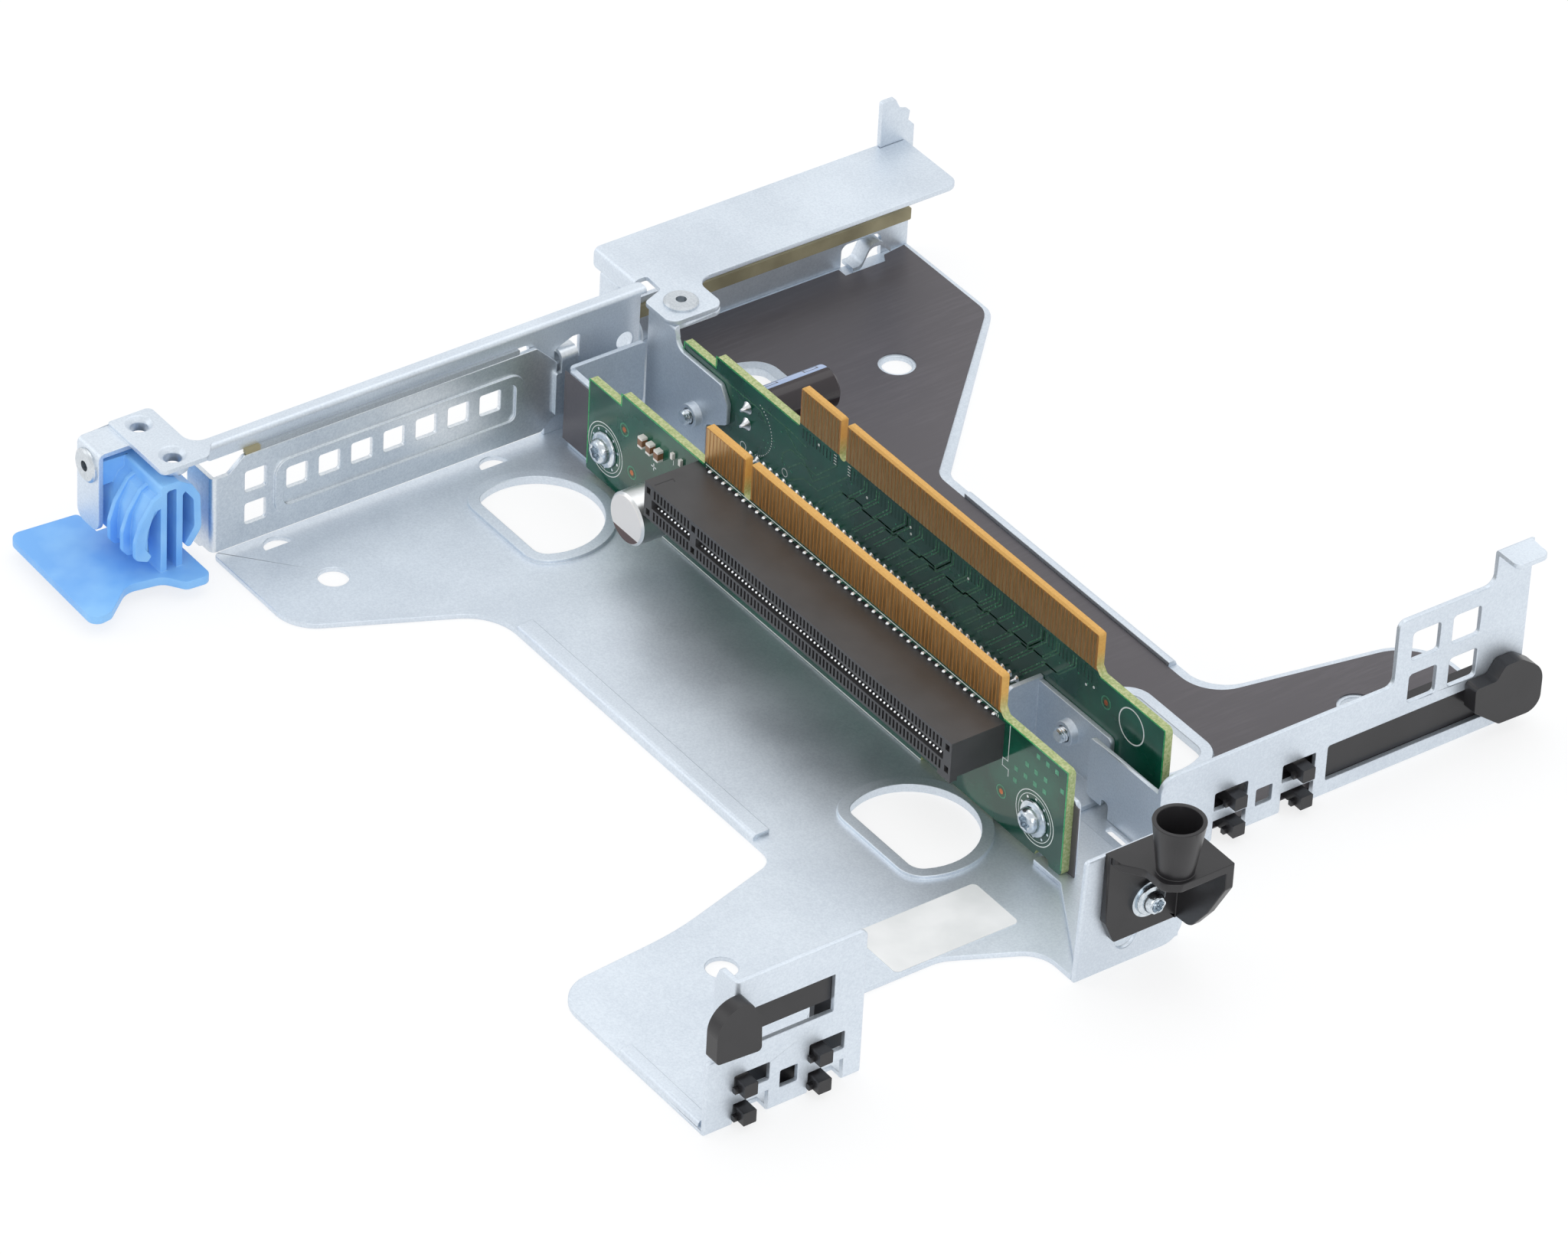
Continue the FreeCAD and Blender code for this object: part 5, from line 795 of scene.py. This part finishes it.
def turned_shells(centres, heights, radii, face_y, outward, steps=8):
    """One closed shell of revolution per centre: x and z go round by radius, y goes out by height."""
    angle = np.linspace(0, 2 * np.pi, steps, endpoint=False)
    circle = np.stack([np.cos(angle), np.sin(angle)], axis=1)
    grid = np.zeros((len(heights), steps, 3))
    grid[:, :, 0] = np.outer(radii, circle[:, 0])
    grid[:, :, 2] = np.outer(radii, circle[:, 1])
    grid[:, :, 1] = face_y + outward * np.array(heights)[:, None]
    points, faces = closed_tube(grid)
    return [(points + (x, 0.0, z), faces) for x, z in centres]


for side, shift, low_z, face_y, outward in (("left", 0.0, LEFT_BASE, BACK_LEFT, 1),
                                            ("right", RIGHT_SHIFT, RIGHT_BASE, FRONT_RIGHT, -1)):
    column = np.arange(LEADS_A_ROW) * LEAD_PITCH + FIRST_LEAD + shift
    centres = [(x + STAGGER * row, low_z + ROW_HEIGHTS[row]) for row in (0, 1) for x in column]
    shells = turned_shells(centres, CONE_HEIGHTS, CONE_RADII, face_y, outward)
    cones = new_piece(f"solder_cones_{side}", shells, FINISHES["solder"], 60)
    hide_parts(f"connector_pins_{side}")
leads = turned_shells(CAN_LEADS, CAN_LEAD_HEIGHTS, CAN_LEAD_RADII, FRONT_RIGHT, -1, 16)
new_piece("capacitor_lead_solder", leads, FINISHES["solder"], 60)
feet = np.arange(FOOT_COUNT) * LEAD_PITCH
for side, shift, foot_z, face_y, outward in (("left", 0.0, FOOT_Z, FRONT_LEFT, -1),
                                             ("right", RIGHT_SHIFT, RIGHT_FOOT_Z, BACK_RIGHT, 1)):
    centres = [(x + FIRST_FOOT + shift, foot_z) for x in feet]
    domes = turned_shells(centres, FOOT_HEIGHTS, FOOT_RADII, face_y, outward)
    new_piece(f"soldered_feet_{side}", domes, FINISHES["solder"], 60)
    bases = [slab(x - 0.75, foot_z, FOOT_BASE_LENGTH, FOOT_BASE_HEIGHT) for x, _ in centres]
    marks(f"foot_bases_{side}", bases, face_y, outward, FOOT_BASE_THICK, FINISHES["black_plastic"],
          "black_plastic")
print("cones:", 4 * LEADS_A_ROW, "feet:", 2 * FOOT_COUNT)

# %% [markdown]
# ## Contact tips in the card slot
#
# Inside the mouth of each connector two rows of springy contacts stand at 1 mm pitch, and their
# polished tips show as a row of bright points. Each tip is a short band that bows towards the middle.

# %% Contact tips
BEFORE_KEY, AFTER_KEY, HOUSING_START, HOUSING_DEPTH = 11, 71, -2.2, 11.0
SLOT_MIDDLE, SLOT_HALF, TIP_DEPTH, TIP_LENGTH, TIP_BOW, TIP_HALF = 3.65, 0.9, 0.8, 0.9, 0.34, 0.2


def tip_shell(x, z_wall, inward_z, y_mouth, inward_y):
    """A bowed strip: depth along Y, and height from the wall as a half sine of the depth."""
    turn = np.linspace(0.0, np.pi, 6)
    depth = y_mouth + inward_y * (TIP_DEPTH + TIP_LENGTH * turn / np.pi)
    height = z_wall + inward_z * TIP_BOW * np.sin(turn)
    left, right, skin = x - TIP_HALF, x + TIP_HALF, 0.02 * inward_z
    rows = [[(left, d, z_wall - skin), (right, d, z_wall - skin), (right, d, h + skin), (left, d, h + skin)]
            for d, h in zip(depth, height)]
    return closed_tube(np.array(rows))


contact_x = np.concatenate([np.arange(BEFORE_KEY) + 3.0, np.arange(AFTER_KEY) + 16.0]) + HOUSING_START
left_mouth, right_mouth = FRONT_LEFT - HOUSING_DEPTH, BACK_RIGHT + HOUSING_DEPTH
for side, shift, base, y_mouth, inward_y in (("left", 0.0, LEFT_BASE, left_mouth, 1),
                                             ("right", RIGHT_SHIFT, RIGHT_BASE, right_mouth, -1)):
    tips = [tip_shell(x, base + SLOT_MIDDLE + SLOT_HALF * way, -way, y_mouth, inward_y)
            for x in contact_x + shift for way in (-1, 1)]
    new_piece(f"slot_contact_tips_{side}", tips, FINISHES["solder"], 50)
print("tips:", 4 * (BEFORE_KEY + AFTER_KEY))

# %% [markdown]
# ## A groove's painted shade and a guide web
#
# The top of the left connector has a fine L-shaped groove at its end; its shade is painted as a thin
# strip of darker plastic that stands on the top. The web of the left card guide reaches down behind the
# square eye of its panel.

# %% Groove and guide web
CONNECTOR_TOP, GROOVE_PATH, GROOVE_WIDTH = 22.9, [[0.8, -6.8], [-0.1, -6.6], [-0.2, -10.4]], 0.2
WEB_BACK, WEB_THICK = 122.25, 1.1
# Painted shade: the groove is a thin dark strip standing on the connector's top, not a cut into it.
groove_shade_points, groove_shade_faces = on_board(ribbon(GROOVE_PATH, GROOVE_WIDTH), CONNECTOR_TOP, 1, COAT_THICK)
web_points, web_faces = on_board(slab(-69.85, 3.05, 5.1, 3.8), WEB_BACK, 1, WEB_THICK)
for name, points, faces in (("connector_groove_painted_shade", groove_shade_points[:, [0, 2, 1]], groove_shade_faces),
                            ("card_guide_left_web", web_points[:, [1, 0, 2]], web_faces)):
    new_piece(name, [(points, faces)], FINISHES["black_plastic"])
print("small forms: 2")

# %% [markdown]
# ## The studio
#
# The object lies on a white sweep under soft, very even light from all round. The camera stands far
# away with a long lens, which keeps lines almost parallel. Its place and its lens were solved from
# points whose real spacing is known, such as the contacts at 1 mm.

# %% Camera
AZIMUTH, ELEVATION, ROLL = (math.radians(v) for v in (52.508, 36.293, 3.131))
FOCUS_PIXELS, SHIFT_PIXELS = 12069.6, (-6.79, -0.75)
IMAGE_WIDTH, DISTANCE = 2048, 1570.35 * MM
TARGET = np.array([37.087, -10.418, 16.0]) * MM


def look(azimuth, elevation, roll, distance, target):
    """A camera matrix: back points from the target to the camera, and roll turns the camera about it."""
    back = np.array([math.sin(azimuth) * math.cos(elevation), -math.cos(azimuth) * math.cos(elevation),
                     math.sin(elevation)])
    right = np.array([math.cos(azimuth), math.sin(azimuth), 0.0])
    up = np.cross(back, right)
    turned_right = right * math.cos(roll) + up * math.sin(roll)
    turned_up = up * math.cos(roll) - right * math.sin(roll)
    matrix = np.eye(4)
    matrix[:3, 0], matrix[:3, 1], matrix[:3, 2] = turned_right, turned_up, back
    matrix[:3, 3] = target + back * distance
    return Matrix(matrix.tolist())


camera_data = bpy.data.cameras.new("photo_camera")
camera_data.sensor_width = 36.0
camera_data.lens = FOCUS_PIXELS / IMAGE_WIDTH * camera_data.sensor_width
camera_data.shift_x = -SHIFT_PIXELS[0] / IMAGE_WIDTH
camera_data.shift_y = SHIFT_PIXELS[1] / IMAGE_WIDTH
camera_data.clip_end = 20.0
camera = bpy.data.objects.new("photo_camera", camera_data)
bpy.context.collection.objects.link(camera)
camera.matrix_world = look(AZIMUTH, ELEVATION, ROLL, DISTANCE, TARGET)
bpy.context.scene.camera = camera
print("lens:", round(camera_data.lens, 1), "mm")

# %% [markdown]
# ## Floor and light
#
# The sweep is a mix of paper and glow. The glow, which the camera and reflections see, makes it white
# whatever light falls on it, and the paper keeps a soft shadow of the object. The world is an even
# pale dome, and three soft lamps stand above, to the left and in front.

# %% Floor, lamps and world
GLOW_STRENGTH, GLOW_SHARE, DOME_STRENGTH = 1.06, 0.72, 0.86
FLOOR_HALF, FLOOR_Z = 3.0, -0.02 * MM
AIM = (0.03, 0.0, 0.0)
LAMPS = (("overhead_softbox", (-0.15, 0.25, 0.95), 0.9, 1.8), ("left_softbox", (-0.9, -0.9, 0.7), 0.8, 1.8),
         ("front_softbox", (1.0, -0.5, 0.5), 0.7, 1.6))


def floor_sheet():
    """A flat square of 6 m, worked out as a 2 by 2 grid, just under the tray."""
    side = np.linspace(-FLOOR_HALF, FLOOR_HALF, 2)
    x, y = np.meshgrid(side, side)
    points = np.stack([x.ravel(), y.ravel(), np.full(4, FLOOR_Z)], axis=1)
    mesh = bpy.data.meshes.new("white_sweep")
    mesh.from_pydata(points.tolist(), [], [(0, 1, 3, 2)])
    sheet = bpy.data.objects.new("white_sweep", mesh)
    bpy.context.collection.objects.link(sheet)
    return sheet


sweep = floor_sheet()
paper, tree, shader, _ = new_finish("white_sweep_paper", Roughness=0.9)
shader.inputs["Base Color"].default_value = hex_colour("#F4F5F6")
path = add(tree, "LightPath")
seen = sum_of(tree, "MAXIMUM", path.outputs["Is Camera Ray"], path.outputs["Is Glossy Ray"])
seen = sum_of(tree, "MAXIMUM", seen, path.outputs["Is Transmission Ray"])
glow = add(tree, "Emission", {"Color": (1.0, 1.0, 1.0, 1.0), "Strength": GLOW_STRENGTH})
share = sum_of(tree, "MULTIPLY", seen, GLOW_SHARE)
mixed = add(tree, "MixShader", {0: share, 1: shader.outputs[0], 2: glow.outputs[0]})
tree.links.new(mixed.outputs[0], tree.nodes["Material Output"].inputs["Surface"])
sweep.data.materials.append(paper)


def softbox(name, place, size, power):
    """A square white area lamp that looks at the object."""
    lamp = bpy.data.lights.new(name, "AREA")
    lamp.size, lamp.energy = size, power
    stand = bpy.data.objects.new(name, lamp)
    bpy.context.collection.objects.link(stand)
    stand.location = place
    stand.rotation_euler = (Vector(AIM) - Vector(place)).to_track_quat("-Z", "Y").to_euler()


for lamp_settings in LAMPS:
    softbox(*lamp_settings)
world = bpy.data.worlds.new("studio")
bpy.context.scene.world = world
world.use_nodes = True
sky = world.node_tree.nodes["Background"]
sky.inputs["Color"].default_value = hex_colour("#FAFBFC")
sky.inputs["Strength"].default_value = DOME_STRENGTH
bpy.context.scene.view_settings.view_transform = "Standard"
print("studio ready")
